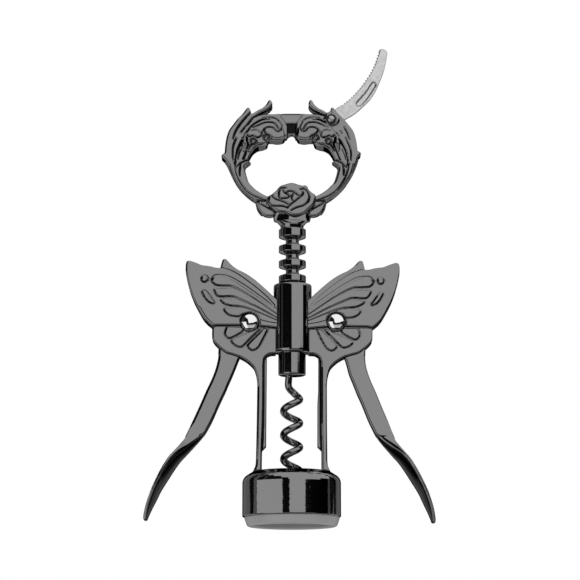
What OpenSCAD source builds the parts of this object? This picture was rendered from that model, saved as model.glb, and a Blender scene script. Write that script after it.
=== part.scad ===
// Wing corkscrew: a cast frame stands on a bell that seats on the bottle, two geared levers
// lift a toothed sleeve, and the sleeve carries the turning spindle, worm and ring handle.
// Millimetres. The worm's axis is Z, the base is z = 0, the front faces -Y.

/* [Bell] */
// Wall of the bell
bell_wall = 1.6; // [1.2:0.1:1.9]
// Height of the bell's top face above the base
bell_top_z = 21.5; // [20.5:0.5:30]
// Height of the bell's shoulder, from the straight side to the top face
shoulder_h = 3.7; // [2.5:0.1:4.5]
// Distance from the bell's side in to the edge of its top face
shoulder_in = 4.5; // [3.5:0.1:4.6]
// Thickness of the bell's top
bell_top_t = 2.1; // [1.5:0.1:3]
// Radius of the hole in the bell's top that the worm passes
bell_hole_r = 5.5; // [5.2:0.1:7]

/* [Bell liner] */
// Radius of the bore that goes over the bottle
bottle_r = 15.6; // [15.3:0.1:16.5]
// Wall of the liner
liner_wall = 2.3; // [1.8:0.1:4]
// Height of the lip that shows below the bell
lip_h = 3.8; // [2.5:0.1:5]
// Radius of the rounding at the foot of the lip
lip_round = 2.2; // [1:0.1:2.4]
// Step from the bell's side in to the lip
lip_step = 0.8; // [0.5:0.1:1.2]
// Length of the bore
liner_h = 12; // [9:0.5:12.5]

/* [Posts] */
// Height of the posts above the bell's top face
post_h = 42.5; // [38:0.5:60]
// Distance from the axis to the inner face of a post
post_in = 11.4; // [10.8:0.1:12]
// Width of a post, seen from the front
post_w = 2.3; // [1.8:0.1:3]
// Depth of the stiffening flange on the inner face of a post
flange_w = 1.3; // [0.8:0.1:1.6]
// Thickness of the stiffening flange
flange_t = 3; // [2:0.1:3.8]
// Height at which the stiffening flange begins, above the bell
flange_foot = 11.5; // [6:0.5:16]
// Radius of the corners between the posts and the wings
corner_r = 3.4; // [2.4:0.1:4]

/* [Guide barrel] */
// Outer radius of the barrel that guides the toothed sleeve
barrel_r = 7.45; // [7.2:0.05:8]
// Height of the barrel above the gear windows
barrel_cap = 4.9; // [3:0.1:7]
// Height of the barrel below the gear windows
barrel_foot = 0.85; // [0.6:0.05:1]
// Rounding of the barrel's rims
barrel_round = 0.7; // [0.3:0.1:1]

/* [Wings] */
// Thickness of the lower part of a wing
lower_t = 1.55; // [1.2:0.05:2]
// Step from the lower part out to the upper part of a wing
upper_step = 1.4; // [0.8:0.1:2]
// Height of the raised pads on the wings
pad_h = 0.35; // [0.2:0.05:0.6]
// Width of the web that joins the front and rear wings at the top
web_w = 2; // [1.4:0.1:2.4]

/* [Levers] */
// Thickness of a lever and of its gear
lever_t = 4; // [3:0.1:5]
// Length of a lever from its pivot to its tip
lever_l = 88; // [80:1:89]
// Radius of a lever's hub
hub_r = 10.5; // [8:0.1:11]
// Width of the paddle at a lever's end, front to back
paddle_w = 14; // [10:0.5:18]
// Wall of the paddle
paddle_t = 2.2; // [1.6:0.1:2.8]

/* [Teeth] */
// Distance from one tooth to the next
tooth_pitch = 6.1; // [5.9:0.05:6.3]
// Pressure angle in degrees
pressure_angle = 20; // [18:1:22]
// Radius of the lever gear's pitch circle
gear_pitch_r = 13.15; // [12.8:0.05:14]
// Height of a gear tooth outside the pitch circle
gear_addendum = 1.25; // [1.1:0.05:1.3]
// Thickness of a gear tooth on its pitch circle
gear_tooth_t = 2.4; // [2.2:0.05:2.5]
// Teeth of the sleeve above the pivots
teeth_above = 6; // [5:1:8]
// Play between the teeth
backlash = 0.15; // [0.1:0.05:0.3]

/* [Toothed sleeve] */
// Outer radius of the sleeve's teeth
rack_r = 5.45; // [5.3:0.05:5.6]
// Height of a sleeve tooth outside the pitch line
rack_addendum = 1.4; // [1.2:0.05:1.45]
// Radius of the spindle's rod inside the sleeve
rod_r = 1.65; // [1.4:0.05:1.8]

/* [Spindle] */
// Radius of the neck where it leaves the sleeve
neck_r = 4.55; // [4:0.05:5]
// Height of the neck
neck_h = 3.05; // [2.5:0.05:5]
// Radius of the flange under the handle
flange_r = 7.95; // [7:0.05:9]
// Height of the flange
flange_h = 3.7; // [3:0.1:6]
// Radius of the stud in the handle
stud_r = 2.3; // [1.8:0.1:2.8]
// Length of the stud
stud_h = 6; // [4:0.5:7]

/* [Worm] */
// Outer radius of the collar that holds the worm
collar_r = 5.35; // [5:0.05:5.4]
// Length of the collar
collar_h = 11; // [10:0.5:14]
// Radius of the worm's wire
wire_r = 1.3; // [1.1:0.05:1.5]
// Radius of the helix at the middle of the wire
helix_r = 3.2; // [2.8:0.05:3.5]
// Climb of the worm in one turn
worm_pitch = 9.5; // [9:0.1:11]
// Turns of the worm
worm_turns = 4.3; // [3.3:0.1:4.3]
// Offset of the worm's shank from the axis
shank_x = 0.9; // [0.6:0.1:1]
// Length of the shank inside the collar
shank_in = 5; // [4:0.5:5.5]
// Length of the straight shank below the collar
shank_h = 5.3; // [4:0.1:6]

/* [Handle] */
// Width of the handle over its side leaves
handle_w = 57; // [50:1:60]
// Half of the thickness of the handle's body
ring_half_t = 3.2; // [2.8:0.1:3.5]
// Half of the width of the slot that takes the foil blade
slot_half_w = 0.6; // [0.55:0.05:0.9]
// Half of the thickness of the disc behind the rose
rose_half_t = 4.6; // [4:0.1:5]

/* [Foil blade] */
// Thickness of the blade
blade_t = 0.9; // [0.7:0.05:1]
// Length of the blade from its rivet to its tip
blade_l = 37.5; // [34:0.5:38]
// Radius of the blade's root around its rivet
blade_root_r = 3; // [2.6:0.1:3.1]
// Number of notches along the cutting edge
notches = 14; // [8:1:18]
// Depth of the notches
notch_h = 0.35; // [0.2:0.05:0.5]

/* [Rivets and pins] */
// Radius of a lever rivet's shank
pivot_r = 1.9; // [1.6:0.1:2.2]
// Radius of a lever rivet's head
head_r = 3.55; // [3.2:0.05:3.7]
// Height of a lever rivet's head
head_h = 2.1; // [1.6:0.1:2.4]
// Radius of the seat sunk into the wing around a rivet's head
seat_r = 3.8; // [3.75:0.05:4.2]
// Radius of the blade rivet's shank
blade_pin_r = 1; // [0.8:0.05:1.2]
// Radius of the blade rivet's heads
blade_head_r = 1.9; // [1.7:0.05:2.2]
// Room around those heads in the handle
blade_head_gap = 0.35; // [0.2:0.05:0.6]
// Radius of the cross pins
pin_r = 0.8; // [0.6:0.05:0.9]

/* [Clearances] */
// Running clearance of a turning or sliding fit, on the radius
run_gap = 0.06; // [0.03:0.01:0.1]
// Clearance of a fixed fit, on the radius
fix_gap = 0.02; // [0.01:0.01:0.04]
// Side clearance of a lever between the wings
side_gap = 0.15; // [0.1:0.05:0.3]
// Clearance between end faces that turn on each other
end_gap = 0.15; // [0.1:0.05:0.3]
// Clearance around the tips of the gear teeth
tip_gap = 0.2; // [0.15:0.05:0.4]

/* [Hidden] */
$fn = 96;
PLATING = "#4b4d50";
LEFT = -1;
RIGHT = 1;
FRONT = -1;
REAR = 1;

// Sizes that follow from the driving sizes
liner_r = bottle_r + liner_wall;
bell_r = liner_r + fix_gap + bell_wall;
post_top_z = bell_top_z + post_h;
gear_tip_r = gear_pitch_r + gear_addendum;
rack_pitch_r = rack_r - rack_addendum;
pivot_x = rack_pitch_r + gear_pitch_r;
post_gap = 1.9;
pivot_z = post_top_z + gear_tip_r + post_gap;
gear_root_gap = 0.25;
rack_root_gap = 0.15;
gear_root_r = pivot_x - rack_r - gear_root_gap;
rack_root_r = pivot_x - gear_tip_r - rack_root_gap;
rack_tooth_t = tooth_pitch - gear_tooth_t - backlash;
window_half = sqrt(pow(gear_tip_r + tip_gap, 2) - pow(pivot_x - barrel_r, 2));
barrel_z0 = pivot_z - window_half - barrel_foot;
barrel_z1 = pivot_z + window_half + barrel_cap;
slot_half = lever_t / 2 + side_gap;
lower_face = slot_half + lower_t;
upper_face = lower_face + upper_step;
sleeve_z0 = pivot_z - 1.5 * tooth_pitch;
sleeve_top_t = 2.1;
sleeve_z1 = pivot_z + teeth_above * tooth_pitch + sleeve_top_t;
collar_z1 = sleeve_z0 - end_gap;
collar_z0 = collar_z1 - collar_h;
neck_z = sleeve_z1 + end_gap;
flange_z = neck_z + neck_h;
handle_z = flange_z + flange_h;
rod_in_collar = 4.6;
rod_end_z = collar_z1 - rod_in_collar;
collar_pin_z = collar_z1 - 2;
handle_pin_z = handle_z + stud_h - 2.8;
HANDLE_DRAWN = 57;
handle_k = handle_w / HANDLE_DRAWN;
blade_pivot = [0, handle_z] + handle_k * [16.2, 38.3];
blade_seat = ring_half_t + 1.5;
BLADE_DRAWN = 37.5;
blade_k = blade_l / BLADE_DRAWN;
// How far a cutter reaches past the face that it cuts
over = 1;

// Points on a smooth curve through chosen points; n steps from one point to the next
function mid(a, b, c, d, t) = 0.5 * (2 * b + (c - a) * t + (2 * a - 5 * b + 4 * c - d) * t * t
    + (3 * b - a - 3 * c + d) * t * t * t);
function curve(p, n = 3) = let (m = len(p) - 1) concat(
    [for (i = [0 : m - 1]) for (k = [0 : n - 1])
        mid(p[max(i - 1, 0)], p[i], p[i + 1], p[min(i + 2, m)], k / n)], [p[m]]);
function round_loop(p, n = 3) = let (m = len(p)) [for (i = [0 : m - 1]) for (k = [0 : n - 1])
    mid(p[(i + m - 1) % m], p[i], p[(i + 1) % m], p[(i + 2) % m], k / n)];
function back(p) = [for (i = [len(p) - 1 : -1 : 0]) p[i]];
function shift(p, by) = [for (q = p) q + by];
// The whole outline, from the half that lies on the right of the axis
function both_halves(p) = concat(p, [for (q = back(p)) if (q[0] > 0.001) [-q[0], q[1]]]);
function arc(c, r, a0, a1, n) = [for (i = [0 : n])
    let (a = a0 + (a1 - a0) * i / n) c + r * [cos(a), sin(a)]];
// A stroke of changing width along chosen points [x, z, half width]
function side_of(c, s) = let (m = len(c) - 1) [for (i = [0 : m])
    let (a = c[max(i - 1, 0)], b = c[min(i + 1, m)], d = [b[0] - a[0], b[1] - a[1]])
    [c[i][0], c[i][1]] + s * c[i][2] * [-d[1], d[0]] / norm(d)];
function stroke(p, n = 3) = let (c = curve(p, n)) concat(side_of(c, 1), back(side_of(c, -1)));

// A plate whose outline is drawn in X and Z, from y0 to y1
module slab(outline, y0, y1) {
    translate([0, y1, 0]) rotate([90, 0, 0]) linear_extrude(y1 - y0) polygon(outline);
}
// A round bar along Y, centred on x and z
module cross_bar(at, r, y0, y1) {
    translate([at[0], y1, at[1]]) rotate([90, 0, 0]) cylinder(h = y1 - y0, r = r);
}
// A domed head that stands out from y = 0 to y = -h
module dome(r, h) {
    sphere_r = (r * r + h * h) / (2 * h);
    edge = asin(r / sphere_r);
    rotate([90, 0, 0]) rotate_extrude()
        polygon(concat([[0, 0]], arc([0, h - sphere_r], sphere_r, 90 - edge, 90, 10)));
}
module on_side(side) {
    if (side == LEFT) mirror([1, 0, 0]) children();
    else children();
}
module on_face(face) {
    if (face == REAR) mirror([0, 1, 0]) children();
    else children();
}

// ---- Bell and liner ----
module bell() {
    side_top = bell_top_z - shoulder_h;
    top_r = bell_r - shoulder_in;
    inner_r = bell_r - bell_wall;
    inner_top = bell_top_z - bell_top_t;
    color(PLATING) rotate_extrude() polygon(concat(
        [[inner_r, lip_h], [bell_r, lip_h]],
        arc([bell_r - 2, side_top - 1], 2, 0, 55, 6),
        [[top_r, bell_top_z], [bell_hole_r, bell_top_z],
            [bell_hole_r, inner_top], [inner_r - 4, inner_top]],
        arc([inner_r - 2, side_top - 1.5], 2, 60, 0, 6)));
}
module bell_liner() {
    lip_r = bell_r - lip_step;
    color("#8c8c8c") rotate_extrude() polygon(concat(
        [[bottle_r, 0]],
        arc([lip_r - lip_round, lip_round], lip_round, -90, 0, 8),
        [[lip_r, lip_h], [liner_r, lip_h], [liner_r, liner_h - 0.4],
            [liner_r - 0.4, liner_h], [bottle_r, liner_h]]));
}

// ---- Frame ----
module post(side) {
    post_out = post_in + post_w;
    flange_top = post_h + 2.2;
    outer = concat(
        curve([[post_out + 1.2, 0], [post_out + 0.6, 1.7], [post_out + 0.2, 4.2],
            [post_out, 8.5]]),
        curve([[post_out, post_h - 8.4], [post_out + 0.2, post_h - 6],
            [post_out + 1.5, post_h - 2.1], [post_out + 3.4, post_h]]));
    color(PLATING) on_side(side) difference() {
        union() {
            slab(shift(concat([[post_in, 0]], outer, [[post_in, post_h]]), [0, bell_top_z]),
                -lower_face, lower_face);
            slab(shift([[post_in - flange_w, flange_foot], [post_in + 0.5, flange_foot - 2],
                    [post_in + 0.5, flange_top], [post_in - flange_w, flange_top]],
                    [0, bell_top_z]), -flange_t / 2, flange_t / 2);
        }
        cross_bar([pivot_x, pivot_z], gear_tip_r + tip_gap + 0.3, -slot_half, slot_half);
    }
}
module guide_barrel() {
    color(PLATING) difference() {
        rotate_extrude() polygon(concat(
            [[rack_r + run_gap, barrel_z0], [barrel_r - barrel_round, barrel_z0]],
            arc([barrel_r - barrel_round, barrel_z0 + barrel_round], barrel_round, -80, 0, 5),
            arc([barrel_r - barrel_round, barrel_z1 - barrel_round], barrel_round, 0, 90, 6),
            [[rack_r + run_gap, barrel_z1]]));
        translate([-barrel_r - over, -slot_half, pivot_z - window_half])
            cube([2 * barrel_r + 2 * over, 2 * slot_half, 2 * window_half]);
    }
}

// Outlines of a wing, from the pivot: x outward, z up
UPPER_TOP = [[-12.2, 8.6], [-9.8, 10.7], [-7.1, 13.1], [-4, 15.9], [0, 19], [4.3, 21.3],
    [7.1, 23.4], [8.9, 25.4], [9.8, 25.7], [10.5, 25.2]];
UPPER_TIP = [[11.4, 21.9], [15.4, 22.5], [19.1, 23.1], [22.6, 24.7], [24.1, 25], [24.9, 24.4],
    [25.2, 21.7], [24.8, 18.1], [23.1, 11.8], [20.3, 5.3], [17.4, 0.6], [14.4, -2.1]];
LOWER_EDGE = [[14.4, -2.1], [14.4, -6], [12.7, -9], [9.1, -11.9], [4.2, -13.7], [0.8, -15.7]];
// Raised pads of the upper and the lower part
UPPER_PADS = [
    [[15, 16.9], [14.4, 15.5], [12, 14.7], [6.6, 14.2], [3.3, 12.9], [-3.2, 9], [-10, 4],
        [-10.2, 5.2], [-3.5, 10.4], [3, 15], [8, 17.6], [12, 18.4], [14.2, 18.2]],
    [[13.8, 12.6], [11.6, 10.5], [6.8, 10.2], [2.8, 9], [-3, 6.4], [-9.6, 2.6],
        [-9.8, 3.6], [-3.2, 8.2], [3.4, 12.2], [7, 13.6], [12, 14], [13.4, 13.6]],
    [[11.2, 8.7], [9.8, 7.5], [7, 6.6], [0, 5.8], [-5.4, 3.6], [-10, 1.4],
        [-9.9, 2.2], [-3, 5.9], [3, 8.6], [7, 9.8], [10.5, 9.8]],
    [[9.7, 4.7], [8.6, 3.4], [6.6, 2.7], [4.6, 2.9], [3.4, 4.4], [1, 5.4],
        [4, 6], [7.4, 6.2], [9.2, 5.7]]];
LOWER_PADS = [
    [[9.6, -4], [8.4, -5.8], [6.6, -6], [3, -4.4], [4.6, -2], [8.6, -1.7]],
    [[6.9, -7.4], [5.2, -9.2], [2.8, -9.6], [0.6, -8.4], [-3.6, -3.4], [-0.6, -4.1],
        [3.4, -4.8], [6, -6.4]],
    [[0.6, -9.2], [-0.6, -10.6], [-2.4, -10.9], [-4.4, -9.6], [-6.9, -3.2], [-5.2, -3.2],
        [-1.6, -6.2]]];
module wing(side, face) {
    at = [pivot_x, pivot_z];
    barrel_x = -pivot_x + 5;
    corner = arc([post_in - pivot_x - corner_r, post_top_z - pivot_z], corner_r, 0, 90, 6);
    lower = concat(curve(LOWER_EDGE), [[0.1, post_top_z - pivot_z]], corner,
        [[barrel_x, barrel_z0 - pivot_z - 1], [barrel_x, -2.3], [-4.2, -1.4], [0, 0], [14, 0]]);
    upper = concat(curve(UPPER_TOP), curve(UPPER_TIP), [[12.8, -1.1], [2.8, -1.1], [-4.2, -1.4],
        [barrel_x, -2.3]]);
    web = concat(curve([for (i = [2 : 6]) UPPER_TOP[i]]),
        back(curve([for (i = [2 : 6]) UPPER_TOP[i] + web_w * [0.55, -0.83]])));
    color(PLATING) on_side(side) on_face(face) difference() {
        union() {
            slab(shift(lower, at), -lower_face, -slot_half);
            slab(shift(upper, at), -upper_face, -slot_half);
            slab(shift(web, at), -slot_half - 0.5, 0);
            for (p = UPPER_PADS) slab(shift(round_loop(p), at), -upper_face - pad_h, -slot_half);
            for (p = LOWER_PADS) slab(shift(round_loop(p), at), -lower_face - pad_h, -slot_half);
        }
        translate([0, 0, barrel_z0 - 2])
            cylinder(h = barrel_z1 - barrel_z0 + 4, r = barrel_r + fix_gap);
        cross_bar(at, pivot_r + fix_gap, -upper_face - over, 0);
        cross_bar(at, seat_r, -upper_face - over, -lower_face);
        cross_bar(at, gear_tip_r + tip_gap, -slot_half, over);
    }
}

// ---- Levers ----
// Edges of a lever, from the pivot: x outward, z up, drawn for the default length
LEVER_DRAWN = 88;
LEVER_OUT = [[10.2, -3], [11.8, -8], [12.2, -13], [12.6, -17], [14.6, -22.8], [18.2, -30.6],
    [22.2, -39.8], [24.6, -44.6]];
LEVER_IN = [[18.6, -44.6], [15.6, -40.4], [12.3, -34.4], [9, -27.6], [5.9, -20.3], [3.5, -14.2],
    [1.5, -9.5]];
// Edges of the paddle where it leaves the bar, and half width along it as shares of the full one
PADDLE_OUT = [[21, -38.6], [23.4, -43], [26.6, -48.2], [30.4, -53.2], [34.1, -59.6], [37.1, -66],
    [39.6, -72.9], [41, -77.3], [40.7, -78.1]];
PADDLE_IN = [[15.4, -37.6], [17.6, -42.4], [20.6, -47.6], [24.8, -52.4], [29.4, -58.2],
    [33.9, -65.6], [37.4, -73], [39.3, -77.3], [39.9, -78.1]];
PADDLE_HALF = [0.26, 0.27, 0.5, 0.85, 1, 1, 0.85, 0.45, 0.3];
// How far the bar has turned into a crescent
PADDLE_BOW = [0, 0.05, 0.45, 1, 1, 1, 0.9, 0.3, 0.1];
function involute(r) = let (a = acos(min(1, gear_pitch_r * cos(pressure_angle) / r)))
    tan(a) * 180 / PI - a;
function half_tooth(r) = gear_tooth_t / 2 / gear_pitch_r * 180 / PI
    + involute(gear_pitch_r) - involute(r);
function polar(r, a) = r * [cos(a), sin(a)];
// One tooth of the lever's gear, centred on the angle a
function tooth(a) = let (base = gear_pitch_r * cos(pressure_angle),
        rs = [gear_root_r - 1.5, base, base + 0.5, gear_pitch_r, gear_pitch_r + 0.6, gear_tip_r])
    concat([for (r = rs) polar(r, a - half_tooth(max(r, base)))],
        [for (i = [len(rs) - 1 : -1 : 0]) polar(rs[i], a + half_tooth(max(rs[i], base)))]);
module gear_sector() {
    step = tooth_pitch / gear_pitch_r * 180 / PI;
    // Angles run from the sleeve, upward: the inward direction is 180 degrees
    polygon(concat([[0, 0]], arc([0, 0], gear_root_r, 180 + 33, 180 - 4.5 * step - 6, 30)));
    for (k = [-1 : 4]) polygon(tooth(180 - (k + 0.5) * step));
}
// A cross-section of the paddle: a crescent whose hollow face is turned outward
CRESCENT = 8;
function crescent(o, i, half, bow) = let (depth = norm(o - i), out = (o - i) / depth,
        rim = paddle_t * 0.55, at_y = function (y, u) [i[0] + out[0] * u, y, i[1] + out[1] * u])
    concat(
        [for (n = [0 : CRESCENT]) let (y = half * (2 * n / CRESCENT - 1), e = pow(y / half, 2))
            at_y(y, bow * e * max(0, depth - rim))],
        [for (n = [CRESCENT : -1 : 0]) let (y = half * (2 * n / CRESCENT - 1), e = pow(y / half, 2))
            at_y(y, depth - bow * (1 - e) * max(0, depth - paddle_t))]);
module paddle(k) {
    rows = curve([for (n = [0 : len(PADDLE_OUT) - 1])
        concat(PADDLE_OUT[n] * k, PADDLE_IN[n] * k, [PADDLE_HALF[n], PADDLE_BOW[n]])]);
    sides = 2 * CRESCENT + 2;
    points = [for (r = rows) each crescent([r[0], r[1]], [r[2], r[3]],
        max(r[4] * paddle_w / 2, lever_t / 2 - 0.1), max(0, r[5]))];
    walls = [for (i = [0 : len(rows) - 2]) for (n = [0 : sides - 1])
        let (m = (n + 1) % sides, a = i * sides, b = a + sides)
        each [[a + n, b + n, b + m], [a + n, b + m, a + m]]];
    end = (len(rows) - 1) * sides;
    caps = [for (n = [0 : CRESCENT - 1]) let (m = sides - 1 - n)
        each [[n, n + 1, m], [n + 1, m - 1, m],
            [end + n, end + m, end + n + 1], [end + n + 1, end + m, end + m - 1]]];
    polyhedron(points, concat(walls, caps));
}
module lever(side) {
    k = lever_l / LEVER_DRAWN;
    at = [pivot_x, pivot_z];
    grown = [for (i = [0 : len(LEVER_OUT) - 1]) i < 3 ? LEVER_OUT[i] : LEVER_OUT[i] * k];
    tucked = [for (i = [0 : len(LEVER_IN) - 1]) i > 3 ? LEVER_IN[i] : LEVER_IN[i] * k];
    color(PLATING) on_side(side) difference() {
        union() {
            translate([at[0], lever_t / 2, at[1]]) rotate([90, 0, 0]) linear_extrude(lever_t) {
                polygon(concat(curve(grown), curve(tucked)));
                circle(r = hub_r);
                gear_sector();
            }
            translate([at[0], 0, at[1]]) paddle(k);
        }
        cross_bar(at, pivot_r + run_gap, -lever_t, lever_t);
    }
}
module pivot_rivet(side) {
    color("#e0e2e4") on_side(side) translate([pivot_x, 0, pivot_z]) union() {
        translate([0, -lower_face, 0]) dome(head_r, head_h);
        cross_bar([0, 0], pivot_r, -lower_face - 0.5, lower_face + 1.2);
    }
}
module rivet_cap(side) {
    color("#e0e2e4") on_side(side) translate([pivot_x, 0, pivot_z]) difference() {
        translate([0, lower_face, 0]) mirror([0, 1, 0]) dome(head_r, head_h);
        cross_bar([0, 0], pivot_r + fix_gap, 0, lower_face + 1.25);
    }
}

// ---- Toothed sleeve, spindle and worm ----
module toothed_sleeve() {
    slope = tan(pressure_angle);
    tip = rack_tooth_t / 2 - rack_addendum * slope;
    root = rack_tooth_t / 2 + (rack_pitch_r - rack_root_r) * slope;
    crest = 0.3;
    teeth = [for (k = [-1 : teeth_above]) let (z = pivot_z + k * tooth_pitch)
        each [[rack_root_r, z - root], [rack_r - crest, z - tip - crest * slope],
            [rack_r, z - tip + crest], [rack_r, z + tip - crest],
            [rack_r - crest, z + tip + crest * slope], [rack_root_r, z + root]]];
    top = [for (q = teeth) if (q[1] < sleeve_z1 - 0.01) q];
    color(PLATING) rotate_extrude() polygon(concat([[rod_r + run_gap, sleeve_z0],
        [rack_root_r, sleeve_z0]], top, [[top[len(top) - 1][0], sleeve_z1],
        [rod_r + run_gap, sleeve_z1]]));
}
module spindle() {
    edge = 0.6;
    color(PLATING) difference() {
        union() {
            rotate_extrude() polygon(concat(
                [[0, rod_end_z], [rod_r, rod_end_z], [rod_r, neck_z], [neck_r, neck_z]],
                curve([[neck_r, neck_z], [neck_r + 0.15, neck_z + 0.8],
                    [neck_r + 0.65, neck_z + 1.9], [flange_r - 1, flange_z - 0.3]]),
                arc([flange_r - edge, flange_z + 0.6], edge, -60, 0, 4),
                arc([flange_r - edge, handle_z - edge], edge, 0, 90, 5),
                [[stud_r, handle_z], [stud_r, handle_z + stud_h], [0, handle_z + stud_h]]));
        }
        cross_bar([0, collar_pin_z], pin_r + fix_gap, -rod_r - 1, rod_r + 1);
        cross_bar([0, handle_pin_z], pin_r + fix_gap, -stud_r - 1, stud_r + 1);
    }
}
module worm_collar() {
    edge = 0.5;
    color(PLATING) difference() {
        rotate_extrude() polygon(concat([[0, collar_z0]],
            arc([collar_r - edge, collar_z0 + edge], edge, -90, 0, 5),
            arc([collar_r - edge, collar_z1 - edge], edge, 0, 90, 5), [[0, collar_z1]]));
        translate([0, 0, rod_end_z - 0.1])
            cylinder(h = collar_z1 - rod_end_z + 1, r = rod_r + fix_gap);
        translate([-shank_x, 0, collar_z0 - 1])
            cylinder(h = shank_in + 1.1, r = wire_r + fix_gap);
        cross_bar([0, collar_pin_z], pin_r + fix_gap, -collar_r, collar_r);
    }
}
module collar_pin() {
    reach = collar_r - 0.25;
    color("silver") cross_bar([0, collar_pin_z], pin_r, -reach, reach);
}

// The worm's wire: a straight shank, a short run out to the helix, and the helix to its point
WIRE_SIDES = 8;
TURN_STEPS = 20;
worm_top_z = collar_z0 - shank_h;
helix_steps = round(TURN_STEPS * worm_turns);
run_share = 0.5;
function worm_angle(t) = 180 - 360 * t;
function ease(t) = t * t * (3 - 2 * t);
function helix_point(t) = let (out = ease(min(1, t / run_share)),
        r = shank_x + (helix_r - shank_x) * out)
    [r * cos(worm_angle(t)), r * sin(worm_angle(t)), worm_top_z - worm_pitch * t];
worm_path = concat(
    [for (z = [collar_z0 + shank_in, collar_z0 + 0.5, collar_z0 - shank_h / 2])
        [-shank_x, 0, z]],
    [for (i = [0 : helix_steps]) helix_point(i / TURN_STEPS)]);
// The wire thins to a point over its last half turn
point_turns = 0.55;
blunt_share = 0.12;
function wire_at(i) = let (left = (len(worm_path) - 1 - i) / (TURN_STEPS * point_turns))
    wire_r * max(blunt_share, sqrt(min(1, left)));
function unit(v) = v / norm(v);
function ring_of(i) = let (a = worm_path[max(i - 1, 0)], b = worm_path[min(i + 1, len(worm_path) - 1)],
        t = unit(b - a), u = unit(cross(t, [0, 1, 0.001])), v = cross(t, u))
    [for (k = [0 : WIRE_SIDES - 1]) let (w = 360 * k / WIRE_SIDES)
        worm_path[i] + wire_at(i) * (cos(w) * u + sin(w) * v)];
module worm() {
    rings = len(worm_path);
    points = [for (i = [0 : rings - 1]) each ring_of(i)];
    walls = [for (i = [0 : rings - 2]) for (k = [0 : WIRE_SIDES - 1])
        let (j = (k + 1) % WIRE_SIDES, a = i * WIRE_SIDES, b = a + WIRE_SIDES)
        each [[a + k, b + k, b + j], [a + k, b + j, a + j]]];
    first = [for (k = [1 : WIRE_SIDES - 2]) [0, k, k + 1]];
    end = (rings - 1) * WIRE_SIDES;
    last = [for (k = [1 : WIRE_SIDES - 2]) [end, end + k + 1, end + k]];
    color("#56585b") polyhedron(points, concat(walls, first, last));
}
// The least gap between one turn of the wire and the next
echo(worm_gap = worm_pitch * 2 * PI * helix_r / norm([worm_pitch, 2 * PI * helix_r]) - 2 * wire_r);

// ---- Handle ----
// Right half of the handle's body, x from the axis and z from the top of the flange
RING_OUT = [[6.5, 0.4], [9, -0.6], [12, 0], [14, 2.6], [17.6, 6.2], [20.4, 9.2], [22.6, 13],
    [25, 18.5], [26.6, 24.6], [26.1, 29.6], [24.9, 32.8], [22.3, 36], [18.8, 38.7], [14, 40],
    [9.4, 39.3], [5, 39.5], [0, 40.3]];
RING_IN = [[0, 11.2], [2, 10.9], [4, 9.7], [6.4, 9.1], [8.4, 6.6], [10.4, 5.8], [14.4, 8.3],
    [17.2, 11.2], [18.4, 14.6], [18.2, 18], [17.6, 22.2], [16, 24.9], [13, 26.8], [10.6, 28.4],
    [8.6, 30.1], [6, 29.7], [4.2, 30.1], [2.6, 31], [1.4, 32.8], [0, 33.6]];
// Leaves and scrolls: step out from the body's face, then points [x, z, half width]
LEAVES = [
    [0.4, [[25.4, 22, 0.9], [25.8, 27, 1], [24.9, 31.8, 1], [22.4, 36.2, 1], [19.9, 39.6, 0.8],
        [17.6, 42.6, 0.35]]],
    [1.1, [[24.2, 21, 0.7], [24.6, 26, 0.9], [23.2, 30.8, 0.9], [20.5, 35.2, 1], [16.5, 38.9, 1.3],
        [12.5, 41, 1.4], [10, 42.9, 1], [8.8, 45.4, 0.4]]],
    [1.5, [[22.8, 20.1, 0.7], [23, 25.1, 0.8], [21.8, 29.6, 0.8], [19, 34, 0.8],
        [15, 37.3, 0.6]]],
    [1.9, [[21.2, 19.1, 0.8], [21, 23.1, 0.8], [19.6, 27.1, 0.7], [18, 30.6, 0.4]]],
    [2.3, [[24.5, 24.1, 0.7], [23.5, 29.1, 0.9], [21, 33.6, 1], [17, 37, 1], [12, 38.8, 1.1],
        [7, 38.8, 1.1], [3.5, 37.4, 1.1], [2, 35, 1], [2.4, 32.8, 0.9], [4.2, 31.2, 0.9],
        [6.6, 30.9, 0.9], [8.8, 32, 0.9]]],
    [1.7, [[19, 32.1, 0.5], [15, 35.6, 0.9], [11, 36.6, 1], [8, 36.1, 0.9], [6, 34.3, 0.7]]],
    [1.8, [[18.6, 21.4, 1.2], [16, 25, 1.1], [13, 27.8, 1], [10.4, 29.2, 0.6]]],
    [-0.6, [[27.8, 23, 0.4], [25.5, 18.3, 0.5], [23.3, 13.8, 0.5], [20.4, 9.6, 0.5],
        [17, 6.2, 0.5], [13, 3.6, 0.6], [9, 2, 0.6]]],
    [0.7, [[24.8, 21.1, 0.5], [23.2, 16.3, 0.6], [20.8, 11.6, 0.6], [17.6, 7.8, 0.6],
        [13.5, 5, 0.6], [9.5, 3.4, 0.6]]],
    [1.9, [[19.4, 19.6, 1], [20.2, 16.4, 1.2], [19, 13.4, 1.3], [16.4, 10, 1.3],
        [13, 7.5, 1.3], [10, 6.2, 1]]],
    [0.2, [[14.2, 3.2, 0.4], [12.5, 1.3, 1.2], [10, 0.3, 1.1], [7.4, 0.4, 0.7]]]];
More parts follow.
